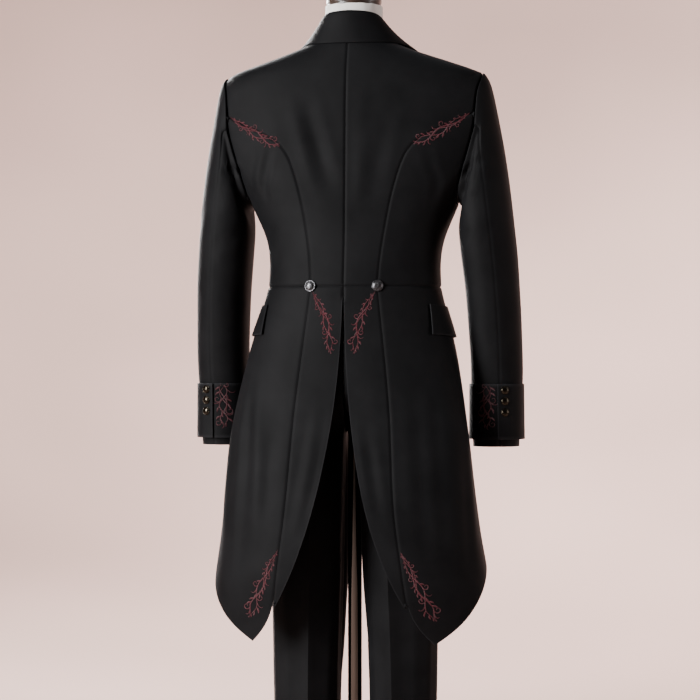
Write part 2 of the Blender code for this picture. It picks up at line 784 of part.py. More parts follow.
def cuff_point(angle, height, lift):
    """A point of the left cuff; the angle runs from its outer side towards the back."""
    outer = cuff_size["outer_x"](height) + lift
    inner = cuff_size["inner_x"](height) - lift
    half_depth = cuff_size["half_depth"](height) + lift
    across = math.cos(math.radians(angle))
    along = math.sin(math.radians(angle))
    lean = abs(across) ** SLEEVE_SQUARENESS + abs(along) ** SLEEVE_SQUARENESS
    reach = lean ** (-1 / SLEEVE_SQUARENESS)
    return Vector(((outer + inner) / 2 + (outer - inner) / 2 * across * reach,
                   cuff_size["middle_y"](height) + half_depth * along * reach, height))


def cuff(side, finish):
    """A turned-back cuff, lapped at the back: its top edge is lifted over the end beneath."""
    end_angle = CUFF_EDGE_ANGLE - 360 - CUFF_UNDERLAP
    outer = []
    inner = []
    for height in CUFF_HEIGHTS:
        points = []
        backs = []
        for step in range(CUFF_SEGMENTS + 1):
            angle = between(CUFF_EDGE_ANGLE, end_angle, step / CUFF_SEGMENTS)
            lift = LAP * smooth_step(CUFF_EDGE_ANGLE - 70, CUFF_EDGE_ANGLE - 25, angle)
            points.append(mirrored(cuff_point(angle, height, lift), side))
            backs.append(mirrored(cuff_point(angle, height, lift - COAT_WALL), side))
        outer.append(points)
        inner.append(backs)
    return wall("cuff" + suffix(side), outer, inner, finish)


# The waistcoat lies a fixed depth inside the coat's skin.

waistcoat_back_side = spline(WAISTCOAT_ARMHOLE, "back")
waistcoat_front_side = spline(WAISTCOAT_ARMHOLE, "front")
waistcoat_neck_side = spline(WAISTCOAT_NECK, "side")
waistcoat_depth = spline(WAISTCOAT_DEPTH, "depth")


def waistcoat_back(side, finish):
    heights = WAISTCOAT_HEIGHTS

    def place(row, across):
        height = heights[row]
        first = coat.beside(centre_back, height, 1)
        if height < WAISTCOAT_ARMPIT + 0.001:
            last = coat.beside(side_seam, height, -1)
        elif height < WAISTCOAT_SHOULDER - 0.001:
            last = coat.turn_at(waistcoat_back_side(height), height, True)
        else:
            last = coat.beside(shoulder_seam, height, -1)
        return coat.spread(first, last, height, across), height, -waistcoat_depth(height)

    return cut_from(coat, "waistcoat_back" + suffix(side), place, len(heights) - 1, 8,
                    WAISTCOAT_WALL, finish, side)


def waistcoat_front(side, finish):
    heights = WAISTCOAT_HEIGHTS[1:]
    drops = 2

    def bottom(across):
        """The hem: level from the side seam, down to the front point, and up to the buttons."""
        point_share = smooth_step(0.10, 0.82, across)
        notch_share = smooth_step(0.86, 1.00, across)
        return WAISTCOAT_HEIGHTS[0] - (0.051 * point_share) + 0.022 * notch_share

    def place(row, across):
        if row < drops:
            height = between(bottom(across), heights[0], row / drops)
            edge_height = heights[0]
        else:
            height = heights[row - drops]
            edge_height = height
        if edge_height < WAISTCOAT_ARMPIT + 0.001:
            first = coat.beside(side_seam, height, 1)
        elif edge_height < WAISTCOAT_SHOULDER - 0.001:
            first = coat.turn_at(waistcoat_front_side(edge_height), edge_height, False)
        else:
            first = coat.beside(shoulder_seam, height, 1)
        last = coat.turn_at(waistcoat_neck_side(edge_height), edge_height, False)
        turn = coat.spread(first, last, edge_height, across)
        under = WAISTCOAT_LAP * smooth_step(*LAP_TURNS, turn) if side < 0 else 0.0
        return turn, height, -waistcoat_depth(height) - under

    return cut_from(coat, "waistcoat_front" + suffix(side), place, len(heights) - 1 + drops, 9,
                    WAISTCOAT_WALL, finish, side)


# Trousers. "across" runs round the left half from the centre back or inside leg (0), past the
# outside seam (0.5), to the centre front or inside leg (1).

trousers = Body(TROUSER_RINGS)
leg_size = {name: spline(TROUSER_LEG, name) for name in TROUSER_LEG["columns"][1:]}


def crease(across):
    """A pressed crease down the middle of the back and the front of the leg."""
    return CREASE_HEIGHT * max(0.0, 1 - abs(abs(across - 0.5) - 0.25) * TROUSER_COLUMNS * 2)


def leg_skin(across, height):
    angle = math.radians(-90 + 360 * across - CREASE_SHIFT * math.sin(2 * math.pi * across))
    inner = leg_size["inner"](height)
    outer = leg_size["outer"](height)
    side = math.sin(angle)
    ahead = math.cos(angle)
    depth = leg_size["back"](height) if ahead > 0 else leg_size["front"](height)
    lean = abs(side / (outer - inner) * 2) ** SQUARENESS + abs(ahead / depth) ** SQUARENESS
    reach = lean ** (-1 / SQUARENESS) + crease(across)
    return Vector(((inner + outer) / 2 + reach * side, reach * ahead, height))


def trouser_skin(across, height):
    hip_height = max(height, SEAT_HEIGHT)
    hips = trousers.skin(180 * across, hip_height)
    if height >= SEAT_HEIGHT:
        return hips
    leg = leg_skin(across, min(height, CROTCH_HEIGHT))
    if height <= CROTCH_HEIGHT:
        return leg
    share = (SEAT_HEIGHT - height) / (SEAT_HEIGHT - CROTCH_HEIGHT)
    medial = abs(2 * across - 1)
    point = hips.lerp(leg, share ** (1 + 1.2 * medial))
    point.z = height
    return point


def trouser_normal(across, height):
    step = 0.004
    round_leg = trouser_skin(across + step, height) - trouser_skin(across - step, height)
    up = trouser_skin(across, height + 0.002) - trouser_skin(across, height - 0.002)
    return up.cross(round_leg).normalized()


def trouser_panel(name, first, last, side, finish):
    outer = []
    inner = []
    for height in TROUSER_HEIGHTS:
        points = []
        backs = []
        for column in range(TROUSER_COLUMNS + 1):
            across = between(first, last, column / TROUSER_COLUMNS)
            way = (column == 0) - (column == TROUSER_COLUMNS)
            step = trouser_skin(across + 0.001, height) - trouser_skin(across - 0.001, height)
            pace = step.length / 0.002
            across += way * 0.6 * SEAM_GAP / pace
            point = trouser_skin(across, height)
            points.append(mirrored(point, side))
            backs.append(mirrored(point - trouser_normal(across, height) * TROUSER_WALL, side))
        outer.append(points)
        inner.append(backs)
    return wall(name + suffix(side), outer, inner, finish)


def waistband(finish):
    """A band round the form's waist, closed edge to edge at the centre back."""
    def place(row, across):
        height = WAISTBAND_HEIGHTS[row]
        gap = math.degrees(SEAM_GAP / 2 / form.back(height))
        turn = form.spread(gap, 360 - gap, height, across)
        return turn, height, WAISTBAND_GAP + WAISTBAND_WALL

    return cut_from(form, "trouser_waistband", place, len(WAISTBAND_HEIGHTS) - 1, FORM_SEGMENTS,
                    WAISTBAND_WALL, finish)


# The dress form, its stand and the buttons.

def torso(finish):
    mesh = bmesh.new()
    rings = []
    for height in [row[0] for row in FORM_RINGS["rows"]]:
        turns = [form.spread(0, 360, height, step / FORM_SEGMENTS) for step in range(FORM_SEGMENTS)]
        rings.append([mesh.verts.new(form.skin(turn, height)) for turn in turns])
    for upper, lower in zip(rings, rings[1:]):
        for i in range(FORM_SEGMENTS):
            j = (i + 1) % FORM_SEGMENTS
            mesh.faces.new((upper[i], upper[j], lower[j], lower[i]))
    mesh.faces.new(rings[0])
    mesh.faces.new(rings[-1])
    return add_object("form_torso", mesh, finish)


def turned(name, profile, segments, finish, matrix=Matrix()):
    """A solid turned round its own Z from (radius, height) points, from its top to its foot."""
    data = bpy.data.meshes.new(name)
    corners = [(radius, 0, height) for radius, height in profile]
    data.from_pydata(corners, [(i, i + 1) for i in range(len(corners) - 1)], [])
    data.materials.append(finish)
    made = bpy.data.objects.new(name, data)
    made.matrix_world = matrix
    collection.objects.link(made)
    screw = made.modifiers.new("turn", "SCREW")
    screw.steps = segments
    screw.render_steps = segments
    screw.use_merge_vertices = True
    screw.merge_threshold = 0.0001
    screw.use_smooth_shade = True
    return made


def neck_cap(finish):
    profile = [(0, CAP_HEIGHT), (0.014, CAP_HEIGHT), (0.030, CAP_HEIGHT - 0.003),
               (CAP_RADIUS - 0.003, 0.0225), (CAP_RADIUS, 0.018), (CAP_RADIUS, SEAM_GAP), (0, SEAM_GAP)]
    return turned("form_neck_cap", profile, 24, finish, Matrix.Translation((0, NECK_MIDDLE, NECK_TOP)))


def pole(finish):
    foot = BASE_HEIGHT + SEAM_GAP
    head = TORSO_FOOT - SEAM_GAP
    bpy.ops.mesh.primitive_cylinder_add(vertices=24, radius=POLE_RADIUS, depth=head - foot,
                                        location=(0, 0, (head + foot) / 2))
    made = bpy.context.object
    made.name = "stand_pole"
    made.data.name = "stand_pole"
    made.data.materials.append(finish)
    made.data.shade_smooth()
    made.data.set_sharp_from_angle(angle=math.radians(40))


def base(finish):
    profile = [(0, BASE_HEIGHT), (0.030, BASE_HEIGHT), (BASE_RADIUS - 0.006, 0.010),
               (BASE_RADIUS, 0.007), (BASE_RADIUS, 0.002), (BASE_RADIUS - 0.002, 0), (0, 0)]
    return turned("stand_base", profile, 40, finish)


def facing(point, direction):
    """A matrix that stands a turned piece on a point with its axis along a direction."""
    return Matrix.Translation(point) @ direction.to_track_quat("Z", "Y").to_matrix().to_4x4()


def button(name, point, direction, radius, rise, finish):
    """A domed button, on a seat along its direction."""
    profile = [(0, rise), (radius * 0.42, rise * 0.95), (radius * 0.82, rise * 0.72),
               (radius, rise * 0.40), (radius * 0.85, 0), (0, 0)]
    seat = point + direction * SEAM_GAP
    return turned(name, profile, BUTTON_SEGMENTS, finish, facing(seat, direction))


def buttons(pewter, brass, horn):
    for side in (1, -1):
        turn = back_seam(WAIST_HEIGHT)
        point = mirrored(coat.point(turn, WAIST_HEIGHT, 0.0002), side)
        normal = mirrored(coat.normal(turn, WAIST_HEIGHT), side)
        button("waist_button" + suffix(side), point, normal, COAT_BUTTON_RADIUS,
               COAT_BUTTON_RISE, pewter)
        for number, height in enumerate(CUFF_BUTTON_HEIGHTS, 1):
            here = cuff_point(CUFF_BUTTON_ANGLE, height, LAP)
            tangent = cuff_point(CUFF_BUTTON_ANGLE + 5, height, LAP) - cuff_point(
                CUFF_BUTTON_ANGLE - 5, height, LAP)
            normal = mirrored(tangent.cross(Vector((0, 0, 1))).normalized(), side)
            name = f"cuff_button_{number}{suffix(side)}"
            button(name, mirrored(here, side), normal, CUFF_BUTTON_RADIUS, CUFF_BUTTON_RISE, brass)
    height = COAT_BUTTON_HEIGHT
    button("coat_button", coat.point(180, height, 2 * LAP + 0.0002), coat.normal(180, height),
           COAT_BUTTON_RADIUS, COAT_BUTTON_RISE, pewter)
    for number, height in enumerate(WAISTCOAT_BUTTON_HEIGHTS, 1):
        point = coat.point(180, height, 0.0002 - waistcoat_depth(height))
        button(f"waistcoat_button_{number}", point, coat.normal(180, height),
               WAISTCOAT_BUTTON_RADIUS, WAISTCOAT_BUTTON_RISE, horn)


def build():
    wool = material("black_wool", (0.012, 0.012, 0.014), 0.85)
    satin = material("black_satin", (0.010, 0.010, 0.012), 0.40)
    lining = material("waistcoat_wool", (0.014, 0.013, 0.015), 0.75)
    linen = material("white_linen", (0.72, 0.70, 0.66), 0.90)
    walnut = material("dark_walnut", (0.045, 0.022, 0.012), 0.45)
    chrome = material("chrome", (0.60, 0.61, 0.62), 0.15, 1.0)
    base_paint = material("black_base_paint", (0.02, 0.02, 0.02), 0.35)
    pewter = material("pewter", (0.25, 0.25, 0.27), 0.35, 1.0)
    brass = material("antique_brass", (0.33, 0.25, 0.13), 0.35, 1.0)
    horn = material("black_horn", (0.02, 0.018, 0.018), 0.30)
    grid = sleeve_grid()
    normals = ring_normals(grid)
    for side in (1, -1):
        for piece in (coat_back, coat_side_back, coat_front, coat_skirt_back, coat_skirt_side,
                      pocket_flap, cuff):
            piece(side, wool)
        lapel(side, satin)
        sleeve_panel("sleeve_under" + suffix(side), grid, normals, HIND_SEAM_PLACE,
                     FORE_SEAM_PLACE, side, wool)
        sleeve_panel("sleeve_top" + suffix(side), grid, normals, FORE_SEAM_PLACE,
                     HIND_SEAM_PLACE + len(grid[0]), side, wool)
        waistcoat_back(side, lining)
        waistcoat_front(side, lining)
        trouser_panel("trouser_back", 0.0, 0.5, side, wool)
        trouser_panel("trouser_front", 0.5, 1.0, side, wool)
    collar(wool)
    waistband(wool)
    torso(linen)
    neck_cap(walnut)
    pole(chrome)
    base(base_paint)
    buttons(pewter, brass, horn)


for old in list(bpy.data.objects):
    bpy.data.objects.remove(old, do_unlink=True)
bpy.context.scene.collection.children.link(collection)
layers = bpy.context.view_layer
layers.active_layer_collection = layers.layer_collection.children[collection.name]
build()
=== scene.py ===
import math

import bmesh
import bpy
import numpy as np
from mathutils import Matrix, Vector, noise
from mathutils.bvhtree import BVHTree
from mathutils.kdtree import KDTree


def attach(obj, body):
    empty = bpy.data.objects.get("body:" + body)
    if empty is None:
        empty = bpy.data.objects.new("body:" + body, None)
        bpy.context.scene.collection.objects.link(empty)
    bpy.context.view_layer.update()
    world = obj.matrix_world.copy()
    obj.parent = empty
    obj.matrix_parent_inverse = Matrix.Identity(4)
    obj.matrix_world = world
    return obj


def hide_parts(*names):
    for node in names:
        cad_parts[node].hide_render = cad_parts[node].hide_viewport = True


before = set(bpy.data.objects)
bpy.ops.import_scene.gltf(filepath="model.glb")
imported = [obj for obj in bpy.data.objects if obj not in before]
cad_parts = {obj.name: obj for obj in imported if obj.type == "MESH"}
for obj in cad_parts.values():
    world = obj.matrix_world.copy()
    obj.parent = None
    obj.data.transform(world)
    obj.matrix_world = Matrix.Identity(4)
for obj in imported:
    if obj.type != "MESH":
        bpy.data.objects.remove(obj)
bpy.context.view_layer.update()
sides = {"left": 1, "right": -1}


def deselectAll():
    if bpy.context.object and bpy.context.object.mode != "OBJECT":
        bpy.ops.object.mode_set(mode="OBJECT")
    bpy.ops.object.select_all(action="DESELECT")


def workOn(piece):
    deselectAll()
    bpy.context.view_layer.objects.active = piece
    piece.select_set(True)


def editMode(piece, kind="FACE"):
    workOn(piece)
    bpy.ops.object.mode_set(mode="EDIT")
    bpy.ops.mesh.select_mode(type=kind)
    bpy.ops.mesh.select_all(action="DESELECT")
    return bmesh.from_edit_mesh(piece.data)


def objectMode():
    bpy.ops.object.mode_set(mode="OBJECT")


def editAll(piece, kind="FACE"):
    editMode(piece, kind)
    bpy.ops.mesh.select_all(action="SELECT")


def selectWhere(piece, kind, test):
    # kind is faces or edges
    mesh = bmesh.from_edit_mesh(piece.data)
    for part in getattr(mesh, kind):
        part.select_set(bool(test(part)))
    bmesh.update_edit_mesh(piece.data)


def applyModifier(piece, kind, **values):
    workOn(piece)
    modifier = piece.modifiers.new(kind.lower(), kind)
    for name, value in values.items():
        setattr(modifier, name, value)
    bpy.ops.object.modifier_apply(modifier=modifier.name)


def smoothShade(piece, angle=40):
    workOn(piece)
    bpy.ops.object.shade_smooth_by_angle(angle=math.radians(angle))


def newPiece(name, points, faces, edges=()):
    mesh = bpy.data.meshes.new(name)
    mesh.from_pydata([tuple(p) for p in points], list(edges), faces)
    piece = bpy.data.objects.new(name, mesh)
    bpy.context.scene.collection.objects.link(piece)
    return piece


def join(name, parts):
    deselectAll()
    for part in parts:
        part.select_set(True)
    bpy.context.view_layer.objects.active = parts[0]
    bpy.ops.object.join()
    parts[0].name = parts[0].data.name = name
    return parts[0]


def finishPiece(piece, node, slot):
    piece.data.materials.clear()
    piece.data.materials.append(materials[slot])
    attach(piece, "root")
    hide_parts(node)


print("camera, light and studio")
cameraView = {
    # degrees round from the front, and metres
    "azimuth": 191.0, "distance": 4.1, "height": 0.9466,
    "sideways": -0.00885,  # the pole stands a little right of the picture's middle
    "lens": 119.1,
}


def addCamera(view):
    turn = math.radians(view["azimuth"])
    right = Vector((math.cos(turn), math.sin(turn), 0))
    back = Vector((math.sin(turn), -math.cos(turn), 0))
    place = back * view["distance"] + right * view["sideways"]
    place.z = view["height"]
    deselectAll()
    bpy.ops.object.camera_add(location=place, rotation=(math.radians(90), 0, turn))
    camera = bpy.context.object
    camera.data.lens = view["lens"]
    bpy.context.scene.camera = camera


def addLight(name, light):
    deselectAll()
    bpy.ops.object.light_add(type="AREA", location=light["place"])
    lamp = bpy.context.object
    lamp.name = name
    aim = Vector(light["aim"]) - lamp.location
    lamp.rotation_euler = aim.to_track_quat("-Z", "Y").to_euler()
    lamp.data.shape = "RECTANGLE"
    lamp.data.size, lamp.data.size_y = light["size"]
    lamp.data.energy = light["watts"]
    lamp.data.spread = math.radians(light["spread"])
    lamp.data.color = light["color"]


lights = {
    # spread is the angle that the light reaches, in degrees
    "windowLight": {"place": (2.75, 2.85, 1.75), "aim": (0, 0, 0.85), "size": (1.4, 2.6),
                    "watts": 182, "spread": 110, "color": (1.0, 0.985, 0.98)},
    "fillLight": {"place": (-3.4, 0.2, 1.5), "aim": (0, 0, 0.9), "size": (0.8, 2.4),
                  "watts": 16, "spread": 110, "color": (1.0, 0.97, 0.97)},
    "frontLight": {"place": (2.4, -3.4, 2.4), "aim": (0, 0, 0.9), "size": (2.0, 2.4),
                   "watts": 170, "spread": 90, "color": (1.0, 0.98, 0.97)},
    "wallLight": {"place": (-0.6, -1.9, 3.7), "aim": (-0.6, -7.0, -0.2), "size": (5.0, 1.6),
                  "watts": 380, "spread": 125, "color": (1.0, 0.94, 0.92)},
}
studio = {
    # a round room whose wall curves into the floor; its colour darkens from shadeFrom to shadeTo along Y, as
    # painted shade on the camera's side
    "radius": 8.0, "height": 6.5, "segments": 96, "curve": 5.5, "curveSteps": 40,
    "color": (0.665, 0.465, 0.41), "shade": (0.20, 0.165, 0.155), "shadeFrom": -2.0, "shadeTo": 3.5,
    "cloudScale": 0.42, "worldColor": (0.97, 0.97, 1.0), "worldStrength": 0.35,
}


def newMaterial(name):
    material = bpy.data.materials.new(name)
    material.use_nodes = True
    tree = material.node_tree
    shader = tree.nodes["Principled BSDF"]
    return material, tree, shader


def addNode(tree, kind, inputs=None, **values):
    node = tree.nodes.new(kind)
    for name, value in values.items():
        setattr(node, name, value)
    for name, value in (inputs or {}).items():
        if isinstance(value, bpy.types.NodeSocket):
            tree.links.new(value, node.inputs[name])
        else:
            node.inputs[name].default_value = value
    return node


def addNoise(tree, place, scale, detail, roughness=0.5):
    noiseNode = addNode(tree, "ShaderNodeTexNoise",
                        {"Vector": place, "Scale": scale, "Detail": detail, "Roughness": roughness})
    return noiseNode.outputs["Fac"]


def addBands(tree, place, scale, distortion, direction, detailScale=1.0):
    bands = addNode(tree, "ShaderNodeTexWave",
                    {"Vector": place, "Scale": scale, "Distortion": distortion, "Detail": 1.0,
                     "Detail Scale": detailScale}, wave_type="BANDS", bands_direction=direction)
    return bands.outputs["Fac"]


def addMix(tree, kind, factor, first, second):
    mix = addNode(tree, "ShaderNodeMix", {"Factor": factor, "A": first, "B": second}, data_type=kind)
    return mix.outputs["Result"]


def addRamp(tree, source, stops, colors):
    ramp = addNode(tree, "ShaderNodeValToRGB", {"Fac": source})
    for element, stop, color in zip(ramp.color_ramp.elements, stops, colors):
        element.position = stop
        element.color = (*color, 1)
    return ramp.outputs["Color"]


def addGloss(tree, shader, source, low, high):
    gloss = addNode(tree, "ShaderNodeMapRange", {"Value": source, "To Min": low, "To Max": high})
    tree.links.new(gloss.outputs["Result"], shader.inputs["Roughness"])


def addRelief(tree, shader, source, strength, distance):
    relief = addNode(tree, "ShaderNodeBump", {"Height": source, "Strength": strength, "Distance": distance})
    tree.links.new(relief.outputs["Normal"], shader.inputs["Normal"])


def addStudio(room):
    deselectAll()
    bpy.ops.mesh.primitive_cylinder_add(vertices=room["segments"], radius=room["radius"],
                                        depth=room["height"], location=(0, 0, room["height"] / 2),
                                        end_fill_type="NGON")
    bowl = bpy.context.object
    bowl.name = "studioBowl"
    editMode(bowl)
    selectWhere(bowl, "faces", lambda face: face.normal.z > 0.5)
    bpy.ops.mesh.delete(type="FACE")
    bpy.ops.mesh.select_mode(type="EDGE")
    selectWhere(bowl, "edges", lambda edge: edge.verts[0].co.z < 0 and edge.verts[1].co.z < 0)
    bpy.ops.mesh.bevel(offset=room["curve"], segments=room["curveSteps"], affect="EDGES")
    bpy.ops.mesh.select_all(action="SELECT")
    bpy.ops.mesh.flip_normals()
    objectMode()
    bpy.ops.object.shade_smooth()
    material, tree, shader = newMaterial("studioPaint")
    place = addNode(tree, "ShaderNodeTexCoord").outputs["Object"]
    cloud = addNoise(tree, place, room["cloudScale"], 2.0, 0.45)
    paint = Vector(room["color"])
    ramp = addRamp(tree, cloud, (0.35, 0.65), (paint * 0.80, paint * 1.10))
    apart = addNode(tree, "ShaderNodeSeparateXYZ", {"Vector": place})
    # painted shade: the wall's colour darkens towards the camera's side along Y
    shadeTowardsCamera = addNode(tree, "ShaderNodeMapRange",
                     {"Value": apart.outputs["Y"], "From Min": room["shadeFrom"],
                      "From Max": room["shadeTo"]})
    wall = addMix(tree, "RGBA", shadeTowardsCamera.outputs["Result"], ramp, (*room["shade"], 1))
    tree.links.new(wall, shader.inputs["Base Color"])
    shader.inputs["Roughness"].default_value = 0.9
    shader.inputs["Specular IOR Level"].default_value = 0.15
    bowl.data.materials.append(material)
    world = bpy.data.worlds.new("studioAir")
    bpy.context.scene.world = world
    world.use_nodes = True
    sky = world.node_tree.nodes["Background"]
    sky.inputs["Color"].default_value = (*room["worldColor"], 1)
    sky.inputs["Strength"].default_value = room["worldStrength"]


addCamera(cameraView)
for lightName, light in lights.items():
    addLight(lightName, light)
addStudio(studio)

print("cloth, thread, wood and metal")
woolLook = {
    # the colours of the cloth's dark and pale parts; twill is how many bands the weave has; edgePale is how
    # much paler the free edges are painted, partly as wear and partly as painted highlight
    "dark": (0.0030, 0.0031, 0.0035), "pale": (0.0056, 0.0057, 0.0063), "twill": 240, "bump": 0.28,
    "roughness": (0.55, 0.72), "gloss": 0.06, "sheen": 0.02, "sheenRoughness": 0.42, "edgePale": 3.0,
}
waistcoatLook = dict(woolLook, dark=(0.0038, 0.0036, 0.0039), pale=(0.0072, 0.007, 0.0075), twill=330)
satinLook = dict(woolLook, dark=(0.003, 0.003, 0.0033), pale=(0.005, 0.005, 0.0055), twill=700, bump=0.08,
                 roughness=(0.26, 0.38), gloss=0.35, sheen=0.1, sheenRoughness=0.25)
linenLook = dict(woolLook, dark=(0.60, 0.575, 0.53), pale=(0.76, 0.74, 0.70), twill=420, bump=0.35,
                 roughness=(0.82, 0.95), gloss=0.3, sheen=0.15, sheenRoughness=0.5)


def clothMaterial(name, look, plainWeave=False):
    material, tree, shader = newMaterial(name)
    place = addNode(tree, "ShaderNodeTexCoord")
    cloudy = addNoise(tree, place.outputs["Object"], 14.0, 4.0, 0.6)
    fibres = addNoise(tree, place.outputs["Object"], 900.0, 2.0, 0.7)
    twill = addBands(tree, place.outputs["UV"], look["twill"], 0.6, "X" if plainWeave else "DIAGONAL", 2.0)
    weft = addBands(tree, place.outputs["UV"], look["twill"] * 1.1, 0.6, "Y", 2.0)
    weave = addMix(tree, "FLOAT", 0.5 if plainWeave else 0.25, twill, weft)
    surface = addMix(tree, "FLOAT", 0.35, weave, fibres)
    # free edges turn paler: partly wear, partly a painted highlight along the edge
    edge = addNode(tree, "ShaderNodeAttribute", attribute_name="edgeWear")
    ramp = addRamp(tree, cloudy, (0.3, 0.7), (look["dark"], look["pale"]))
    wornAndLitColor = (*(Vector(look["pale"]) * look["edgePale"]), 1)
    wornAndLit = addMix(tree, "RGBA", edge.outputs["Fac"], ramp, wornAndLitColor)
    tree.links.new(wornAndLit, shader.inputs["Base Color"])
    addGloss(tree, shader, surface, look["roughness"][1], look["roughness"][0])
    addRelief(tree, shader, surface, look["bump"], 0.0004)
    shader.inputs["Specular IOR Level"].default_value = look["gloss"]
    shader.inputs["Sheen Weight"].default_value = look["sheen"]
    shader.inputs["Sheen Roughness"].default_value = look["sheenRoughness"]
    shader.inputs["Sheen Tint"].default_value = (0.9, 0.92, 1.0, 1)
    return material


def grainyMaterial(look):
    material, tree, shader = newMaterial(look["name"])
    place = addNode(tree, "ShaderNodeTexCoord")
    stretched = addNode(tree, "ShaderNodeMapping",
                        {"Vector": place.outputs["Object"], "Scale": look.get("stretch", (1, 1, 1))})
    grain = addNoise(tree, stretched.outputs["Vector"], look["scale"], look.get("detail", 4.0), 0.6)
    tree.links.new(addRamp(tree, grain, (0.32, 0.68), look["colors"]), shader.inputs["Base Color"])
    addGloss(tree, shader, grain, *look["roughness"])
    addRelief(tree, shader, grain, look["bump"], 0.0005)
    shader.inputs["Metallic"].default_value = look.get("metallic", 0.0)
    shader.inputs["Coat Weight"].default_value = look.get("coat", 0.0)
    return material


def threadMaterial(name, colors):
    material, tree, shader = newMaterial(name)
    place = addNode(tree, "ShaderNodeTexCoord")
    stitch = addBands(tree, place.outputs["UV"], 520.0, 1.2, "X")
    tone = addNoise(tree, place.outputs["Object"], 160.0, 2.0)
    both = addMix(tree, "FLOAT", 0.5, stitch, tone)
    tree.links.new(addRamp(tree, both, (0.25, 0.8), colors), shader.inputs["Base Color"])
    addRelief(tree, shader, stitch, 0.5, 0.0003)
    shader.inputs["Roughness"].default_value = 0.45
    shader.inputs["Specular IOR Level"].default_value = 0.3
    shader.inputs["Sheen Weight"].default_value = 0.05
    shader.inputs["Sheen Tint"].default_value = (1.0, 0.6, 0.64, 1)
    return material


hardLooks = {
    # scale is how fine the grain is; a small stretch draws the grain out along that axis
    "dark_walnut": {"name": "darkWalnut", "scale": 60.0, "stretch": (1, 1, 0.12), "detail": 6.0, "bump": 0.2,
                    "coat": 0.2, "roughness": (0.3, 0.5),
                    "colors": ((0.012, 0.006, 0.004), (0.045, 0.024, 0.014))},
    "chrome": {"name": "brushedChrome", "scale": 90.0, "stretch": (1, 1, 0.02), "bump": 0.02, "metallic": 1.0,
               "roughness": (0.05, 0.13), "colors": ((0.052, 0.046, 0.040), (0.120, 0.110, 0.098))},
    "black_base_paint": {"name": "blackBasePaint", "scale": 420.0, "bump": 0.12, "roughness": (0.50, 0.66),
                         "colors": ((0.010, 0.010, 0.011), (0.022, 0.022, 0.023))},
    "pewter": {"name": "agedPewter", "scale": 420.0, "bump": 0.15, "metallic": 1.0,
               "roughness": (0.2, 0.45), "colors": ((0.022, 0.022, 0.024), (0.125, 0.125, 0.132))},
    "antique_brass": {"name": "antiqueBrass", "scale": 380.0, "bump": 0.12, "metallic": 1.0,
                      "roughness": (0.12, 0.28),
                      "colors": ((0.0075, 0.0066, 0.0050), (0.050, 0.043, 0.032))},
    "black_horn": {"name": "blackHorn", "scale": 130.0, "stretch": (1, 1, 0.4), "bump": 0.05, "coat": 0.2,
                   "roughness": (0.22, 0.4), "colors": ((0.008, 0.007, 0.007), (0.035, 0.028, 0.024))},
}
materials = {
    "black_wool": clothMaterial("blackWool", woolLook),
    "waistcoat_wool": clothMaterial("waistcoatWool", waistcoatLook),
    "black_satin": clothMaterial("blackSatin", satinLook),
    "white_linen": clothMaterial("whiteLinen", linenLook, plainWeave=True),
}
for slot, look in hardLooks.items():
    materials[slot] = grainyMaterial(look)
threads = {
    "red": threadMaterial("redThread", ((0.013, 0.0008, 0.0018), (0.082, 0.0062, 0.0135))),
    # a darker copy of the red thread, as painted shade on the cuffs
    "deep": threadMaterial("deepRedThread", ((0.009, 0.0006, 0.0014), (0.056, 0.0045, 0.0095))),
}

print("cloth panels")
sewn = {
    "coat": ["coat_back", "coat_side_back", "coat_front", "coat_skirt_back", "coat_skirt_side",
             "sleeve_under", "sleeve_top"],
    "waistcoat": ["waistcoat_back", "waistcoat_front"],
    "trousers": ["trouser_back", "trouser_front"],
}
# the fronts lap and button over each other, so their shared edge is no seam
notSewn = [{"coat_front_left", "coat_front_right"}, {"waistcoat_front_left", "waistcoat_front_right"}]
shellRules = {
    "merge": 1e-5,  # corners nearer than this are one
    "quadAngle": 1.2, "quadTopology": 1.5,  # how freely triangles join into quads
    "patchAngle": 48,  # faces that meet under less than this angle are one patch
    "sliceReach": 0.045,  # the stretch of a tube that its middle is taken from
    "votes": 16,  # about this many faces tell which way a patch faces
    "mostShared": 4,  # a rim goes with the wall that it shares this many times more edge with
    "cornerAngle": 36,  # a cut's edge that turns more than this is a corner
}


def nodeTree(nodeName):
    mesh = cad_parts[nodeName].data
    return BVHTree.FromPolygons([v.co for v in mesh.vertices], [tuple(p.vertices) for p in mesh.polygons])


nodeTrees = {name: nodeTree(name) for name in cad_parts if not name.startswith(("stand", "form"))}


def neighboursOf(nodeName):
    stem = nodeName.rsplit("_", 1)[0]
    found = []
    for family in sewn.values():
        if stem not in family:
            continue
        for other in family:
            for side in sides:
                name = other + "_" + side
                if name != nodeName and {nodeName, name} not in notSewn:
                    found.append(nodeTrees[name])
    return found


def copyOf(nodeName, pieceName):
    piece = bpy.data.objects.new(pieceName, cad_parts[nodeName].data.copy())
    piece.data.name = pieceName
    bpy.context.scene.collection.objects.link(piece)
    workOn(piece)
    bpy.ops.mesh.customdata_custom_splitnormals_clear()
    editAll(piece)
    bpy.ops.mesh.remove_doubles(threshold=shellRules["merge"])
    bpy.ops.mesh.tris_convert_to_quads(face_threshold=shellRules["quadAngle"],
                                       shape_threshold=shellRules["quadAngle"],
                                       topology_influence=shellRules["quadTopology"])
    bpy.ops.mesh.faces_shade_smooth()
    objectMode()
    return piece


def patchesOf(shell):
    limit = math.radians(shellRules["patchAngle"])
    patchOf = {}
    patches = []
    for start in shell.faces:
        if start in patchOf:
            continue
        patch = [start]
        patchOf[start] = len(patches)
        for face in patch:
            for edge in face.edges:
                if edge.calc_face_angle(math.pi) > limit:
                    continue
                for other in edge.link_faces:
                    if other not in patchOf:
                        patchOf[other] = len(patches)
                        patch.append(other)
        patches.append(patch)
    return patches, patchOf


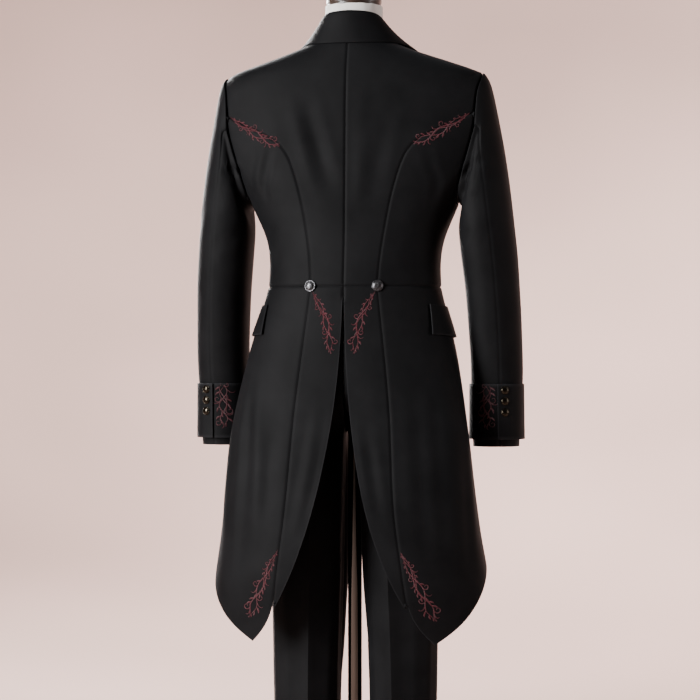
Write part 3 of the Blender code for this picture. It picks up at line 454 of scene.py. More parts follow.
def tubeMiddle(tube, place):
    # a piece that is no tube goes round the upright through the origin
    if not tube:
        return Vector((0, 0, place.z))
    reach = min(abs(p[2] - place.z) for p in tube) + shellRules["sliceReach"]
    near = [p for p in tube if abs(p[2] - place.z) < reach]
    xs = [p[0] for p in near]
    ys = [p[1] for p in near]
    return Vector(((min(xs) + max(xs)) / 2, (min(ys) + max(ys)) / 2, place.z))


def facingOut(patch, tube):
    votes = 0.0
    for face in patch[:: max(1, len(patch) // shellRules["votes"])]:
        middle = face.calc_center_median()
        votes += face.normal.dot((middle - tubeMiddle(tube, middle)).normalized())
    return votes


def keepOuterWall(piece, tube):
    # the two largest patches are the wall's two sides, and each rim patch goes with the side it belongs to
    shell = editMode(piece)
    shell.normal_update()
    patches, patchOf = patchesOf(shell)
    order = sorted(range(len(patches)), key=lambda i: -sum(f.calc_area() for f in patches[i]))
    outer, inner = sorted(order[:2], key=lambda i: -facingOut(patches[i], tube))
    outerSet, innerSet = {outer}, {inner}
    for i in order[2:] + order[2:]:
        if i in outerSet or i in innerSet:
            continue
        withOuter = withInner = 0.0
        for edge in {e for f in patches[i] for e in f.edges}:
            for other in {patchOf[g] for g in edge.link_faces} - {i}:
                if other in outerSet:
                    withOuter += edge.calc_length()
                elif other in innerSet:
                    withInner += edge.calc_length()
        if withOuter > shellRules["mostShared"] * withInner:
            outerSet.add(i)
        elif withInner > shellRules["mostShared"] * withOuter:
            innerSet.add(i)
    keep = {f.index for i in outerSet for f in patches[i]}
    selectWhere(piece, "faces", lambda face: face.index not in keep)
    bpy.ops.mesh.delete(type="FACE")
    objectMode()


def creaseFolds(piece, angle, amount):
    mesh = editMode(piece, "EDGE")
    layer = mesh.edges.layers.float.get("crease_edge") or mesh.edges.layers.float.new("crease_edge")
    for edge in mesh.edges:
        if len(edge.link_faces) == 2 and edge.calc_face_angle(0) > math.radians(angle):
            edge[layer] = amount
    bmesh.update_edit_mesh(piece.data)
    objectMode()


def creaseCorners(piece):
    # the corners of a cut stay sharp under the subdivision
    mesh = editMode(piece, "VERT")
    layer = mesh.verts.layers.float.get("crease_vert") or mesh.verts.layers.float.new("crease_vert")
    for vertex in mesh.verts:
        rim = [edge for edge in vertex.link_edges if edge.is_boundary]
        if len(rim) != 2:
            continue
        first, last = (edge.other_vert(vertex).co - vertex.co for edge in rim)
        if math.degrees(first.angle(-last, 0.0)) > shellRules["cornerAngle"]:
            vertex[layer] = 1.0
    bmesh.update_edit_mesh(piece.data)
    objectMode()


def unwrapFlat(piece):
    # lays the cut flat in metres, with its length upwards
    editAll(piece)
    bpy.ops.uv.unwrap(method="ANGLE_BASED", margin=0.0)
    objectMode()
    mesh = piece.data
    layer = mesh.uv_layers.active.data
    uv = np.array([item.uv[:] for item in layer])
    points = np.array([mesh.vertices[loop.vertex_index].co[:] for loop in mesh.loops])
    solid = flat = 0.0
    for polygon in mesh.polygons:
        around = list(polygon.loop_indices)
        after = around[1:] + around[:1]
        solid += np.linalg.norm(points[after] - points[around], axis=1).sum()
        flat += np.linalg.norm(uv[after] - uv[around], axis=1).sum()
    uv *= solid / flat
    level = uv - uv.mean(0)
    rise = points[:, 2] - points[:, 2].mean()
    a, b = (level * rise[:, None]).sum(0)
    size = math.hypot(a, b) or 1.0
    a, b = a / size, b / size
    uv = np.stack([uv[:, 0] * b - uv[:, 1] * a, uv[:, 0] * a + uv[:, 1] * b], 1)
    uv -= uv.min(0)
    for item, place in zip(layer, uv):
        item.uv = place


folds = [
    # points that a fold runs through, in millimetres; its half width; its depth, where a trough is negative
    ([(72, 86, 1382), (52, 90, 1311), (26, 93, 1224)], 13, -2.2),
    ([(96, 84, 1372), (80, 88, 1308), (58, 92, 1232)], 13, 1.2),
    ([(-75, 87, 1361), (-58, 90, 1275), (-48, 92, 1206)], 13, -1.4),
    ([(-30, 90, 1392), (-26, 92, 1300), (-24, 94, 1200)], 11, 0.9),
    ([(151, 76, 1297), (164, 67, 1245), (160, 62, 1200)], 6, 1.5),
    ([(134, 80, 1300), (147, 71, 1236), (146, 74, 1190)], 6, -1.5),
    ([(-140, 80, 1296), (-158, 68, 1238), (-152, 70, 1180)], 8, -1.4),
    ([(196, 48, 1262), (231, 58, 1271)], 6, -3.2),
    ([(198, 44, 1244), (238, 56, 1256)], 6, 2.6),
    ([(199, 41, 1219), (243, 55, 1201)], 6, -3.0),
    ([(198, 39, 1155), (248, 50, 1131)], 7, -3.0),
    ([(199, 36, 1132), (246, 47, 1108)], 7, 2.4),
    ([(201, 10, 1036), (238, 34, 1014)], 8, -1.9),
    ([(268, 40, 1190), (282, 10, 1162)], 8, -1.6),
    ([(262, 42, 1060), (286, 4, 1030)], 9, -1.4),
    ([(-202, 48, 1255), (-238, 56, 1281)], 5, -4.0),
    ([(-196, 44, 1236), (-246, 55, 1262)], 6, 4.0),
    ([(-196, 42, 1218), (-240, 53, 1232)], 5, -3.8),
    ([(-198, 40, 1194), (-246, 52, 1206)], 7, 2.0),
    ([(-199, 39, 1148), (-254, 48, 1168)], 7, -3.4),
    ([(-200, 36, 1128), (-254, 46, 1140)], 7, 2.8),
    ([(-205, 31, 1089), (-254, 45, 1109)], 8, -1.9),
    ([(-268, 30, 1040), (-284, 0, 1012)], 9, -1.5),
    ([(153, 98, 877), (147, 125, 748), (148, 137, 610)], 10, 2.2),
    ([(172, 96, 900), (170, 116, 739), (181, 124, 557)], 10, -2.4),
    ([(116, 114, 860), (122, 132, 760), (127, 143, 654)], 10, -1.6),
    ([(198, 60, 900), (206, 80, 740), (214, 92, 600)], 11, 1.8),
    ([(-126, 108, 878), (-136, 124, 740), (-148, 138, 590)], 11, -2.0),
    ([(-169, 85, 895), (-184, 100, 740), (-199, 111, 588)], 12, 2.2),
    ([(-196, 64, 880), (-208, 82, 720), (-218, 90, 570)], 10, -1.8),
    ([(-44, 131, 810), (-58, 142, 730), (-72, 152, 658)], 9, -1.5),
    ([(44, 131, 840), (56, 142, 740), (74, 152, 640)], 9, 1.3),
    ([(17, -13, 790), (17, -13, 640), (20, -13, 500), (24, -13, 385)], 12, 6.0),
    ([(-17, 13, 790), (-17, 13, 640), (-20, 13, 470)], 12, 5.2),
    # the sides that the photograph doesn't show are folded in the same manner
    ([(150, -86, 1310), (118, -104, 1210), (70, -112, 1130)], 12, -1.8),
    ([(172, -70, 1290), (146, -90, 1180), (100, -104, 1100)], 11, 1.4),
    ([(-150, -86, 1300), (-116, -104, 1206), (-72, -112, 1126)], 12, -1.6),
    ([(-172, -70, 1280), (-144, -90, 1176), (-104, -104, 1096)], 11, 1.5),
    ([(206, -98, 1190), (238, -106, 1158), (262, -90, 1140)], 7, -2.2),
    ([(208, -102, 1130), (240, -110, 1104), (268, -92, 1092)], 7, -2.0),
    ([(212, -104, 1060), (246, -112, 1030)], 8, 1.6),
    ([(-206, -98, 1200), (-240, -106, 1170), (-264, -90, 1150)], 7, -2.2),
    ([(-210, -102, 1120), (-244, -110, 1098), (-270, -92, 1082)], 7, -1.9),
    ([(-212, -104, 1050), (-248, -112, 1024)], 8, 1.5),
    ([(170, -60, 960), (186, -50, 860), (196, -30, 740)], 11, -1.8),
    ([(-168, -62, 950), (-188, -52, 850), (-198, -32, 730)], 11, -1.7),
    ([(60, -92, 640), (88, -98, 612), (118, -92, 600)], 11, -1.5),
    ([(-60, -92, 630), (-90, -98, 604), (-120, -92, 590)], 11, -1.5),
    ([(60, 70, 560), (90, 78, 532), (124, 66, 520)], 12, -1.6),
    ([(-62, 70, 550), (-92, 78, 520), (-126, 66, 508)], 12, -1.6),
    ([(56, -84, 330), (88, -92, 300), (118, -84, 284)], 12, 1.4),
    ([(-58, -84, 320), (-88, -92, 292), (-120, -84, 278)], 12, 1.4),
    ([(60, 60, 300), (92, 70, 262), (122, 58, 240)], 12, -1.5),
    ([(-60, 60, 290), (-94, 70, 256), (-124, 58, 236)], 12, -1.5),
]
folds = [([Vector(p) / 1000 for p in points], width / 1000, depth / 1000) for points, width, depth in folds]


def nearestOn(line, place):
    # how far a place is from a line of points, and how far along it the nearest point lies
    nearest, runThere, run = None, 0.0, 0.0
    for a, b in zip(line, line[1:]):
        along = b - a
        t = max(0.0, min(1.0, (place - a).dot(along) / along.length_squared))
        gap = (place - (a + along * t)).length
        if nearest is None or gap < nearest:
            nearest, runThere = gap, run + t * along.length
        run += along.length
    return nearest, runThere / run


# a fold reaches so many half widths; a bank runs along each side of it; it fades towards its ends
foldShape = {"reach": 3.2, "bank": 0.35, "bankPlace": 1.9, "bankWidth": 0.8, "endShare": 0.04, "fade": 0.7}


def foldPush(place, fold):
    line, width, depth = fold
    gap, share = nearestOn(line, place)
    if gap > foldShape["reach"] * width:
        return 0.0
    along = foldShape["endShare"] + (1 - 2 * foldShape["endShare"]) * share
    taper = math.sin(math.pi * along) ** foldShape["fade"]
    bank = math.exp(-((gap - foldShape["bankPlace"] * width) / (foldShape["bankWidth"] * width)) ** 2)
    return depth * taper * (math.exp(-(gap / width) ** 2) - foldShape["bank"] * bank)


# the trousers' creases rise from nothing at the top, over the fade, to their full sharpness
pressed = {"top": 0.78, "fade": 0.14, "width": 0.017, "rise": 0.0062, "foot": 0.12}


def pressedLine(piece, way):
    # the proudest point of every ring of a trouser leg; way is 1 on the back and -1 on the front
    rings = {}
    for vertex in piece.data.vertices:
        height = round(vertex.co.z, 3)
        if height < pressed["top"] and (height not in rings or way * vertex.co.y > way * rings[height].y):
            rings[height] = vertex.co.copy()
    return [rings[height] for height in sorted(rings)]


def pressedPush(place, line):
    gap = nearestOn(line, place)[0]
    fade = min(1.0, max(0.0, (pressed["top"] - place.z) / pressed["fade"]))
    return pressed["rise"] * fade * (math.exp(-gap / pressed["width"]) - pressed["foot"])


clothRules = {
    "waves": 11.0,  # how close the cloth's slow waves are
    "sewnReach": 0.0022, "edgeStep": 0.0008,  # an edge this near another panel is a seam
    "seamDepth": 0.0013, "seamWidth": 0.0024,
    "freeReach": 0.012, "freeShare": 0.15,  # near a free edge only this share of a fold is left
    # near a free edge the cloth is painted paler, partly as wear and partly as painted highlight along the
    # edge
    "wear": 0.55, "wearWidth": 0.0012, "foldMargin": 0.03,
}


def edgeTrees(mesh, nodeName):
    # the points along the piece's seams and along its free edges, each in a tree, or none
    faceCounts = {}
    for polygon in mesh.polygons:
        for key in polygon.edge_keys:
            faceCounts[key] = faceCounts.get(key, 0) + 1
    neighbours = neighboursOf(nodeName)
    seam, free = [], []
    for a, b in (key for key, count in faceCounts.items() if count == 1):
        first, last = mesh.vertices[a].co, mesh.vertices[b].co
        middle = (first + last) / 2
        touching = [tree.find_nearest(middle, clothRules["sewnReach"])[0] for tree in neighbours]
        sewnHere = any(spot is not None for spot in touching)
        steps = max(1, int((last - first).length / clothRules["edgeStep"]))
        (seam if sewnHere else free).extend(first.lerp(last, i / steps) for i in range(steps + 1))
    trees = []
    for points in (seam, free):
        tree = KDTree(len(points))
        for i, point in enumerate(points):
            tree.insert(point, i)
        tree.balance()
        trees.append(tree if points else None)
    return trees


def foldsNear(mesh):
    margin = clothRules["foldMargin"]
    low = Vector(min(v.co[i] for v in mesh.vertices) - margin for i in range(3))
    high = Vector(max(v.co[i] for v in mesh.vertices) + margin for i in range(3))
    return [fold for fold in folds if any(all(low[i] < p[i] < high[i] for i in range(3)) for p in fold[0])]


def shapeCloth(piece, nodeName, cut, line, way):
    mesh = piece.data
    mesh.update()
    seam, free = edgeTrees(mesh, nodeName)
    near = foldsNear(mesh) if cut["folded"] else []
    wornAndLit = np.zeros(len(mesh.vertices), np.float32)
    moves = []
    for vertex in mesh.vertices:
        place = vertex.co
        push = noise.noise(place * clothRules["waves"]) * cut["wave"]
        for fold in near:
            push += foldPush(place, fold)
        if line:
            push += pressedPush(place, line)
        if free:
            gap = free.find(place)[2]
            share = min(1.0, gap / clothRules["freeReach"])
            push *= share * (1 - clothRules["freeShare"]) + clothRules["freeShare"]
            # paler colour near free edges: partly wear, partly painted highlight
            wornAndLit[vertex.index] = clothRules["wear"] * math.exp(-(gap / clothRules["wearWidth"]) ** 2)
        if seam:
            gap = seam.find(place)[2]
            push -= clothRules["seamDepth"] * math.exp(-(gap / clothRules["seamWidth"]) ** 2)
        moves.append(vertex.normal * push)
    for vertex, move in zip(mesh.vertices, moves):
        vertex.co += move
        for (x, y, z), reach, (aside, back, rise) in cut.get("tugs", ()):
            gap = (vertex.co - Vector((way * x, y, z))).length
            vertex.co += Vector((way * aside, back, rise)) * math.exp(-(gap / reach) ** 2)
    wear = mesh.attributes.new("edgeWear", "FLOAT", "POINT")
    wear.data.foreach_set("value", wornAndLit)
    mesh.update()


outerFaces = {}
sewnOn = {}


def layFlat(piece, flat, held, restsOn):
    sewnOn[piece.name] = []


def makePanel(pieceName, side, way, cut):
    nodeName = cut["node"].format(side)
    tube = tubePoints(*[name.format(side) for name in tubes[cut["tube"]]]) if "tube" in cut else None
    line = None
    piece = copyOf(nodeName, pieceName)
    keepOuterWall(piece, tube)
    if cut["inset"]:
        editAll(piece)
        bpy.ops.mesh.inset(thickness=cut["inset"], use_boundary=True, use_even_offset=True)
        objectMode()
    if "crease" in cut:
        line = pressedLine(piece, cut["creaseWay"])
        creaseFolds(piece, *cut["crease"])
    creaseCorners(piece)
    unwrapFlat(piece)
    applyModifier(piece, "SUBSURF", levels=cut["levels"], render_levels=cut["levels"],
                  boundary_smooth="PRESERVE_CORNERS", uv_smooth="PRESERVE_BOUNDARIES")
    shapeCloth(piece, nodeName, cut, line, way)
    outerFaces[pieceName] = ([v.co.copy() for v in piece.data.vertices],
                             [tuple(p.vertices) for p in piece.data.polygons])
    applyModifier(piece, "SOLIDIFY", thickness=cut["wall"], offset=-1.0, use_even_offset=False)
    applyModifier(piece, "BEVEL", width=cut["edgeBevel"], segments=2, limit_method="ANGLE",
                  angle_limit=math.radians(60))
    smoothShade(piece)
    finishPiece(piece, nodeName, cut["slot"])
    layFlat(piece, cut["flat"], cut["held"], [name.format(side) for name in cut["on"]])


def tubePoints(*nodeNames):
    found = []
    for name in nodeNames:
        points = np.zeros(len(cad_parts[name].data.vertices) * 3)
        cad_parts[name].data.vertices.foreach_get("co", points)
        found += [tuple(p) for p in points.reshape(-1, 3)]
    return found


# {} stands for the side; lengths are in metres; levels is how often the mesh is divided; flat is the whole
# cut laid flat, as its width, its length and its area in square metres
coatCut = {"slot": "black_wool", "held": "draped", "on": ["form_torso"], "wall": 0.002, "levels": 3,
           "inset": 0.0035, "edgeBevel": 0.0005, "wave": 0.0009, "folded": True}
hungCut = dict(coatCut, held="hung", on=["coatBack_{}"])
waistcoatCut = dict(coatCut, slot="waistcoat_wool", wall=0.0016, levels=2)
# the crease holds an angle in degrees and how sharp it stays; creaseWay is 1 on the back and -1 on the front
trouserCut = dict(coatCut, held="hung", on=["trouser_waistband"], wall=0.0016, levels=2, tube="leg",
                  crease=(18, 0.8))
smallCut = dict(coatCut, inset=0, wave=0.0003, folded=False)
panels = {
    "waistcoatBack_{}": dict(waistcoatCut, node="waistcoat_back_{}", flat=(0.261, 0.495, 0.0818)),
    "waistcoatFront_{}": dict(waistcoatCut, node="waistcoat_front_{}", flat=(0.258, 0.531, 0.0739)),
    "trouserBack_{}": dict(trouserCut, node="trouser_back_{}", creaseWay=1, flat=(0.302, 1.041, 0.2000)),
    "trouserFront_{}": dict(trouserCut, node="trouser_front_{}", creaseWay=-1, flat=(0.285, 1.039, 0.2151)),
    "coatBack_{}": dict(coatCut, node="coat_back_{}", flat=(0.242, 0.489, 0.0607)),
    "coatSideBack_{}": dict(coatCut, node="coat_side_back_{}", flat=(0.166, 0.324, 0.0373)),
    "coatFront_{}": dict(coatCut, node="coat_front_{}", levels=2, flat=(0.250, 0.493, 0.0846)),
    "skirtBack_{}": dict(hungCut, node="coat_skirt_back_{}", flat=(0.077, 0.567, 0.0300)),
    "skirtSide_{}": dict(hungCut, node="coat_skirt_side_{}", levels=2, flat=(0.362, 0.723, 0.1587)),
    # the tug closes the corner under the armhole: a place on the left, its reach and its shift
    "sleeveUnder_{}": dict(hungCut, node="sleeve_under_{}", levels=2, tube="sleeve",
                           flat=(0.209, 0.567, 0.0669),
                           tugs=[((0.2255, 0.0515, 1.330), 0.009, (0.0022, 0, 0.0012))]),
    "sleeveTop_{}": dict(hungCut, node="sleeve_top_{}", levels=2, tube="sleeve", flat=(0.218, 0.666, 0.1177)),
    "cuff_{}_band": dict(smallCut, node="cuff_{}", held="folded", on=["sleeveTop_{}"], tube="cuff",
                         wave=0.0004, flat=(0.349, 0.101, 0.0335)),
    "lapel_{}_facing": dict(smallCut, node="lapel_{}", slot="black_satin", held="folded", levels=2,
                            on=["coatFront_{}"], flat=(0.090, 0.312, 0.0183)),
    "flap_{}": dict(smallCut, node="pocket_flap_{}", held="hung", on=["skirtSide_{}"],
                    flat=(0.181, 0.093, 0.0091)),
}
tubes = {"sleeve": ["sleeve_under_{}", "sleeve_top_{}"], "leg": ["trouser_back_{}", "trouser_front_{}"],
         "cuff": ["cuff_{}"]}
for side, way in sides.items():
    for pieceName, cut in panels.items():
        makePanel(pieceName.format(side), side, way, cut)

print("collar, waistband and form")


closedRules = {"levels": 2, "creaseAngle": 50, "crease": 0.85, "unwrapAngle": 66}


def closedCopy(pieceName, nodeName):
    piece = copyOf(nodeName, pieceName)
    editAll(piece)
    bpy.ops.uv.smart_project(angle_limit=math.radians(closedRules["unwrapAngle"]), scale_to_bounds=False)
    objectMode()
    creaseFolds(piece, closedRules["creaseAngle"], closedRules["crease"])
    applyModifier(piece, "SUBSURF", levels=closedRules["levels"], render_levels=closedRules["levels"])
    smoothShade(piece)
    return piece


collar = closedCopy("collarFall", "collar")
finishPiece(collar, "collar", "black_wool")
layFlat(collar, (0.460, 0.115, 0.0371), "folded", ["coatBack_left", "coatBack_right"])
waistband = closedCopy("waistband", "trouser_waistband")
finishPiece(waistband, "trouser_waistband", "black_wool")
layFlat(waistband, (0.840, 0.050, 0.0316), "stretched", ["form_torso"])
torso = closedCopy("torsoForm", "form_torso")
finishPiece(torso, "form_torso", "white_linen")


def clothTree(*pieceNames):
    points, faces = [], []
    for name in pieceNames:
        start = len(points)
        points += outerFaces[name][0]
        faces += [tuple(i + start for i in face) for face in outerFaces[name][1]]
    return BVHTree.FromPolygons(points, faces)


print("stand")
neckMiddle = (0, 0.008, 1.5533)
# each profile is points of radius and height; steps is how many go round
stand = {
    "neckCap": {
        "node": "form_neck_cap", "slot": "dark_walnut", "steps": 72,
        "profile": [(0, 0.0297), (0.012, 0.0296), (0.024, 0.0284), (0.034, 0.0262), (0.0415, 0.0236),
                    (0.0435, 0.0226), (0.0440, 0.0214), (0.0448, 0.0206), (0.0462, 0.0200), (0.0477, 0.0190),
                    (0.0485, 0.0174), (0.0485, 0.0050), (0.0482, 0.0040), (0.0472, 0.0032), (0.0472, 0.0022),
                    (0.0480, 0.0014), (0.0480, 0.0002), (0.0474, 0.0), (0, 0)],
    },
    "pole": {
        "node": "stand_pole", "slot": "chrome", "steps": 64,
        "profile": [(0, 0.8865), (0.0117, 0.8865), (0.0125, 0.8857), (0.0125, 0.0150), (0.0121, 0.0144),
                    (0, 0.0144)],
    },
    "roundBase": {
        "node": "stand_base", "slot": "black_base_paint", "steps": 128,
        "profile": [(0, 0.0139), (0.0180, 0.0139), (0.0215, 0.0137), (0.0240, 0.0131), (0.0300, 0.0129),
                    (0.1000, 0.0118), (0.1700, 0.0106), (0.1790, 0.0101), (0.1850, 0.0090), (0.1885, 0.0073),
                    (0.1899, 0.0050), (0.1896, 0.0028), (0.1880, 0.0009), (0.1850, 0.0), (0, 0)],
    },
}


def turned(name, profile, steps):
    # spins the profile round the upright
    piece = newPiece(name, [(radius, 0, height) for radius, height in profile], [],
                     [(i, i + 1) for i in range(len(profile) - 1)])
    editAll(piece, "VERT")
    bpy.ops.mesh.spin(steps=steps, angle=math.tau, center=(0, 0, 0), axis=(0, 0, 1))
    bpy.ops.mesh.select_all(action="SELECT")
    bpy.ops.mesh.remove_doubles(threshold=1e-6)
    bpy.ops.mesh.normals_make_consistent(inside=False)
    objectMode()
    return piece


for name, part in stand.items():
    piece = turned(name, part["profile"], part["steps"])
    if name == "neckCap":
        piece.data.transform(Matrix.Translation(neckMiddle))
    smoothShade(piece, 35)
    finishPiece(piece, part["node"], part["slot"])

print("buttons")
# points of radius and height, as shares of the button's own radius and rise
domedButton = [(0, 0), (0.50, 0), (0.78, 0.02), (0.92, 0.10), (0.985, 0.22), (1.0, 0.32), (0.985, 0.42),
               (0.945, 0.48), (0.90, 0.47), (0.875, 0.44), (0.85, 0.46), (0.80, 0.56), (0.68, 0.72),
               (0.50, 0.86), (0.30, 0.955), (0.14, 0.99), (0, 1.0)]
flatButton = [(0, 0), (0.60, 0), (0.86, 0.08), (0.96, 0.30), (1.0, 0.55), (0.985, 0.80), (0.93, 0.96),
              (0.86, 1.0), (0.78, 0.93), (0.72, 0.72), (0.62, 0.62), (0.30, 0.58), (0, 0.58)]
# how many of each there are, how far out and up they sit, as such shares, and their half sizes in metres
ornaments = [
    {"count": 20, "out": 0.76, "up": 0.61, "size": (0.00075, 0.00075, 0.0006), "facesOut": False},
    {"count": 8, "out": 0.36, "up": 0.915, "size": (0.0018, 0.0007, 0.0005), "facesOut": True},
    {"count": 1, "out": 0.0, "up": 0.97, "size": (0.0011, 0.0011, 0.0006), "facesOut": False},
]
buttonKinds = {
    "pewter": {"radius": 0.0100, "rise": 0.0046, "profile": domedButton, "ornaments": ornaments},
    "antique_brass": {"radius": 0.0075, "rise": 0.0040, "profile": domedButton, "ornaments": []},
    "black_horn": {"radius": 0.0070, "rise": 0.0024, "profile": flatButton, "ornaments": []},
}
# where the search for the cloth under a button starts, how far it may lie from the button's own foot,
# and how deep the button sits in it
seatRules = {"above": 0.012, "reach": 0.003, "sink": 0.0003}


def addBall(place, size, angle):
    deselectAll()
    bpy.ops.mesh.primitive_ico_sphere_add(subdivisions=2, radius=1.0)
    ball = bpy.context.object
    turn = Matrix.Rotation(angle, 4, "Z")
    ball.data.transform(Matrix.Translation(place) @ turn @ Matrix.Diagonal((*size, 1)))
    bpy.ops.object.shade_smooth()
    return ball


def makeButton(name, kind):
    radius, rise = kind["radius"], kind["rise"]
    disc = turned(name, [(r * radius, h * rise) for r, h in kind["profile"]], 40)
    smoothShade(disc, 50)
    parts = [disc]
    for ornament in kind["ornaments"]:
        out = ornament["out"] * radius
        for i in range(ornament["count"]):
            angle = math.tau * i / ornament["count"]
            place = (out * math.cos(angle), out * math.sin(angle), ornament["up"] * rise)
            parts.append(addBall(place, ornament["size"], angle if ornament["facesOut"] else 0.0))
    return join(name, parts) if len(parts) > 1 else disc


def buttonSeat(nodeName, cloth):
    points = np.array(tubePoints(nodeName))
    middle = Vector((points.max(0) + points.min(0)) / 2)
    axis = Vector(np.linalg.svd(points - points.mean(0), full_matrices=False)[2][2]).normalized()
    outwards = Vector((*points.mean(0)[:2], 0))
    if "cuff" in nodeName:
        outwards = Vector((0, 1, 0))
    if axis.dot(outwards) < 0:
        axis.negate()
    seat = middle + axis * min((Vector(point) - middle).dot(axis) for point in points)
    hit = cloth.ray_cast(middle + axis * seatRules["above"], -axis)[0]
    # a button over an open seam keeps the height of its own foot
    if hit and abs((hit - seat).dot(axis)) < seatRules["reach"]:
        seat = hit
    return seat - axis * seatRules["sink"], axis


def placeButton(nodeName, slot, cloth, sheetName):
    button = makeButton("sewn_" + nodeName, buttonKinds[slot])
    seat, axis = buttonSeat(nodeName, cloth)
    turn = Vector((0, 0, 1)).rotation_difference(axis).to_matrix().to_4x4()
    button.data.transform(Matrix.Translation(seat) @ turn)
    finishPiece(button, nodeName, slot)
    sewnOn[sheetName].append(button)


coatNames = ["coatBack", "coatSideBack", "coatFront", "skirtBack", "skirtSide"]
coatTree = clothTree(*[name + "_" + side for name in coatNames for side in sides])
waistcoatTree = clothTree("waistcoatFront_left", "waistcoatFront_right")
cuffTree = clothTree("cuff_left_band", "cuff_right_band")
# what each button is made of, the cloth it sits on and the sheet it is sewn to
buttonHomes = {
    "cuff_button": ("antique_brass", cuffTree, "cuff_{}_band"),
    "waist_button": ("pewter", coatTree, "coatBack_{}"),
    "coat_button": ("pewter", coatTree, "coatFront_left"),
    "waistcoat_button": ("black_horn", waistcoatTree, "waistcoatFront_left"),
}
for nodeName in sorted(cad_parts):
    for start, (slot, cloth, sheetName) in buttonHomes.items():
        if nodeName.startswith(start):
            placeButton(nodeName, slot, cloth, sheetName.format(nodeName.split("_")[-1]))

print("embroidery")
# a vine of our own: stems that wind round each other, with leaves, hooks and small scrolls; in millimetres
vineParts = {
    # how far each stem sways, its waves in the vine's length, where its wave starts, its width
    "stems": [(4.6, 1.5, 0.0, 2.7), (5.0, 1.7, 2.1, 2.3), (4.2, 1.95, 4.2, 1.9)],
    "stemStep": 0.9, "leafEvery": 4.2, "thickness": 0.5,
    # the angle at which each leaves its stem, its length, how far it bends in the end, its width
    "leaf": (0.75, 8.8, -0.9, 3.0), "hook": (0.35, 13.75, 2.6, 2.1), "bendSteps": 14,
    "scrollLean": 0.2, "scrollSize": 4.0, "scrollTurns": 1.15, "scrollSteps": 36, "scrollWidth": 2.1,
}
vines = {
    # side and height of both ends; how full it is at its start, middle and end; its bow; its cloth
    "shoulderVine": {"ends": ((214, 1358), (117, 1302)), "full": (0.35, 1.10, 1.0), "bow": 3,
                     "thread": "red", "on": "coatBack_{}"},
    "waistVine": {"ends": ((56, 1049), (21, 938)), "full": (0.55, 1.0, 1.05), "bow": -9,
                  "thread": "red", "on": "skirtBack_{}"},
    "tailVine": {"ends": ((106, 604), (164, 482)), "full": (0.5, 1.05, 1.55), "bow": 2,
                 "thread": "red", "on": "skirtSide_{}"},
    # the cuffs take the darker copy of the red thread, painted shade
    "cuffVine": {"ends": ((238, 894), (236, 808)), "full": (1.35, 1.45, 1.35), "bow": 0,
                 "thread": "deep", "on": "cuff_{}_band"},
}


def fullness(t, vine):
    start, middle, end = vine["full"]
    full = start + (middle - start) * min(1.0, 2 * t) + (end - middle) * max(0.0, 2 * t - 1)
    return full * min(1.0, 5 * t + 0.12, 5 * (1 - t) + 0.12)


def stemPoint(t, length, vine, stem):
    sway, waves, start = vineParts["stems"][stem][:3]
    return Vector((length * t, vine["bow"] * math.sin(math.pi * t)
                   + sway * fullness(t, vine) * math.sin(math.tau * waves * t + start)))


def headingOf(t, length, vine, stem):
    along = stemPoint(t + 0.004, length, vine, stem) - stemPoint(t - 0.004, length, vine, stem)
    return math.atan2(along.y, along.x)


def curvedPath(start, angle, size, bend):
    # a stroke that bends more and more towards its end
    path = [start.copy()]
    steps = vineParts["bendSteps"]
    for i in range(steps):
        angle += bend * (i / steps) ** 1.4 / steps * 2.4
        path.append(path[-1] + Vector((math.cos(angle), math.sin(angle))) * size / steps)
    return path


def scrollPath(start, angle, way, size):
    # a scroll that winds tighter towards its end
    path = [start.copy()]
    steps = vineParts["scrollSteps"]
    step = vineParts["scrollTurns"] * math.tau / steps
    for i in range(steps):
        angle += way * step
        path.append(path[-1] + Vector((math.cos(angle), math.sin(angle))) * size * (1.25 - i / steps) * step)
    return path


def vineStrokes(length, vine):
    strokes = []
    count = int(length / vineParts["stemStep"])
    for stem, parts in enumerate(vineParts["stems"]):
        path = [stemPoint(i / count, length, vine, stem) for i in range(count + 1)]
        strokes.append((path, parts[3], "stem"))
    leaves = int(length / vineParts["leafEvery"])
    for i in range(1, leaves):
        t = i / leaves
        side = 1 if i % 2 else -1
        # the stem that is farthest out on this side bears the leaf; the second of five is a scroll
        # and the fourth a hook
        stem = max(range(3), key=lambda k: side * stemPoint(t, length, vine, k).y)
        start = stemPoint(t, length, vine, stem)
        heading = headingOf(t, length, vine, stem)
        full = fullness(t, vine)
        if i % 5 == 2:
            path = scrollPath(start, heading - side * vineParts["scrollLean"], side,
                              vineParts["scrollSize"] * full)
            strokes.append((path, vineParts["scrollWidth"], "curl"))
        else:
            kind = "hook" if i % 5 == 4 else "leaf"
            lean, size, bend, width = vineParts[kind]
            path = curvedPath(start, heading + side * lean, size * full, side * bend)
            if kind == "hook":
                strokes.append((path, width, "curl"))
            else:
                strokes.append((path, width * (0.5 + 0.5 * full), "leaf"))
    return strokes


def strokeWidth(t, kind):
    if kind == "leaf":
        return math.sin(math.pi * min(1.0, t * 0.97 + 0.02)) ** 0.75
    if kind == "curl":
        return (1.0 - 0.55 * t) * min(1.0, 8 * t + 0.1) * min(1.0, 10 * (1 - t))
    return (0.45 + 0.55 * math.sin(math.pi * t)) * min(1.0, 12 * t, 12 * (1 - t))


crossSection = [(-1.0, -0.35), (-0.62, 0.62), (0.0, 1.0), (0.62, 0.62), (1.0, -0.35)]


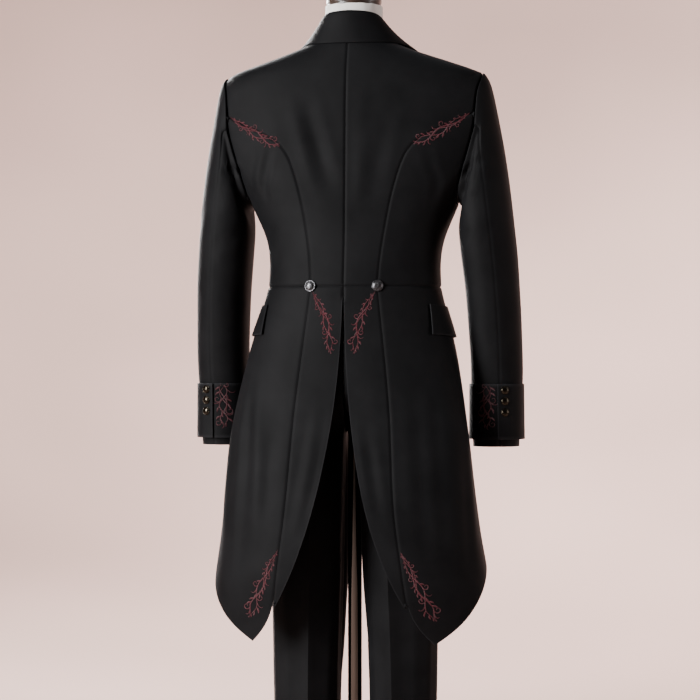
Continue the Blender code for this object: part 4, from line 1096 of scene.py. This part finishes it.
def stitchStroke(path, width, kind, drop, points, faces, uvs):
    landed = [drop(place) for place in path]
    landed = [pair for pair in landed if pair]
    if len(landed) < 4:
        return
    run = 0.0
    rings = []
    last = len(landed) - 1
    for i, (place, normal) in enumerate(landed):
        along = landed[min(last, i + 1)][0] - landed[max(0, i - 1)][0]
        if i:
            run += (place - landed[i - 1][0]).length
        if i in (0, last) or along.length < 1e-7:
            rings.append(([len(points)], run))
            points.append(place)
            continue
        side = normal.cross(along).normalized()
        half = width * strokeWidth(i / last, kind) / 2000
        high = min(vineParts["thickness"] / 1000, half * 0.75)
        rings.append((list(range(len(points), len(points) + 5)), run))
        points += [place + side * half * x + normal * high * y for x, y in crossSection]
    for (before, startRun), (after, endRun) in zip(rings, rings[1:]):
        for j in range(5):
            k = (j + 1) % 5
            kept = []
            for ring, ringRun, corner in ((before, startRun, j), (after, endRun, j), (after, endRun, k),
                                          (before, startRun, k)):
                point = ring[min(corner, len(ring) - 1)]
                if point not in [c[0] for c in kept]:
                    kept.append((point, ringRun, corner))
            if len(kept) > 2:
                faces.append([c[0] for c in kept])
                uvs += [(c[1], c[2] * 0.0004) for c in kept]


def makeVine(name, vine, way, tree):
    (startSide, startHeight), (endSide, endHeight) = vine["ends"]
    start = Vector((startSide, startHeight))
    along = Vector((endSide, endHeight)) - start
    length = along.length
    along.normalize()
    across = Vector((-along.y, along.x))

    def drop(place):
        flat = start + along * place.x + across * place.y
        hit, normal = tree.ray_cast(Vector((way * flat.x / 1000, 0.4, flat.y / 1000)), Vector((0, -1, 0)))[:2]
        if hit is None or hit.y < -0.02:
            return None
        return hit, normal if normal.y > 0 else -normal

    points, faces, uvs = [], [], []
    for path, width, kind in vineStrokes(length, vine):
        stitchStroke(path, width, kind, drop, points, faces, uvs)
    piece = newPiece(name, points, faces)
    layer = piece.data.uv_layers.new(name="thread")
    for item, place in zip(layer.data, uvs):
        item.uv = place
    editAll(piece)
    bpy.ops.mesh.normals_make_consistent(inside=False)
    objectMode()
    smoothShade(piece, 60)
    piece.data.materials.append(threads[vine["thread"]])
    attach(piece, "root")
    return piece


for side, way in sides.items():
    for name, vine in vines.items():
        piece = makeVine(name + "_" + side, vine, way, cuffTree if name == "cuffVine" else coatTree)
        sewnOn[vine["on"].format(side)].append(piece)
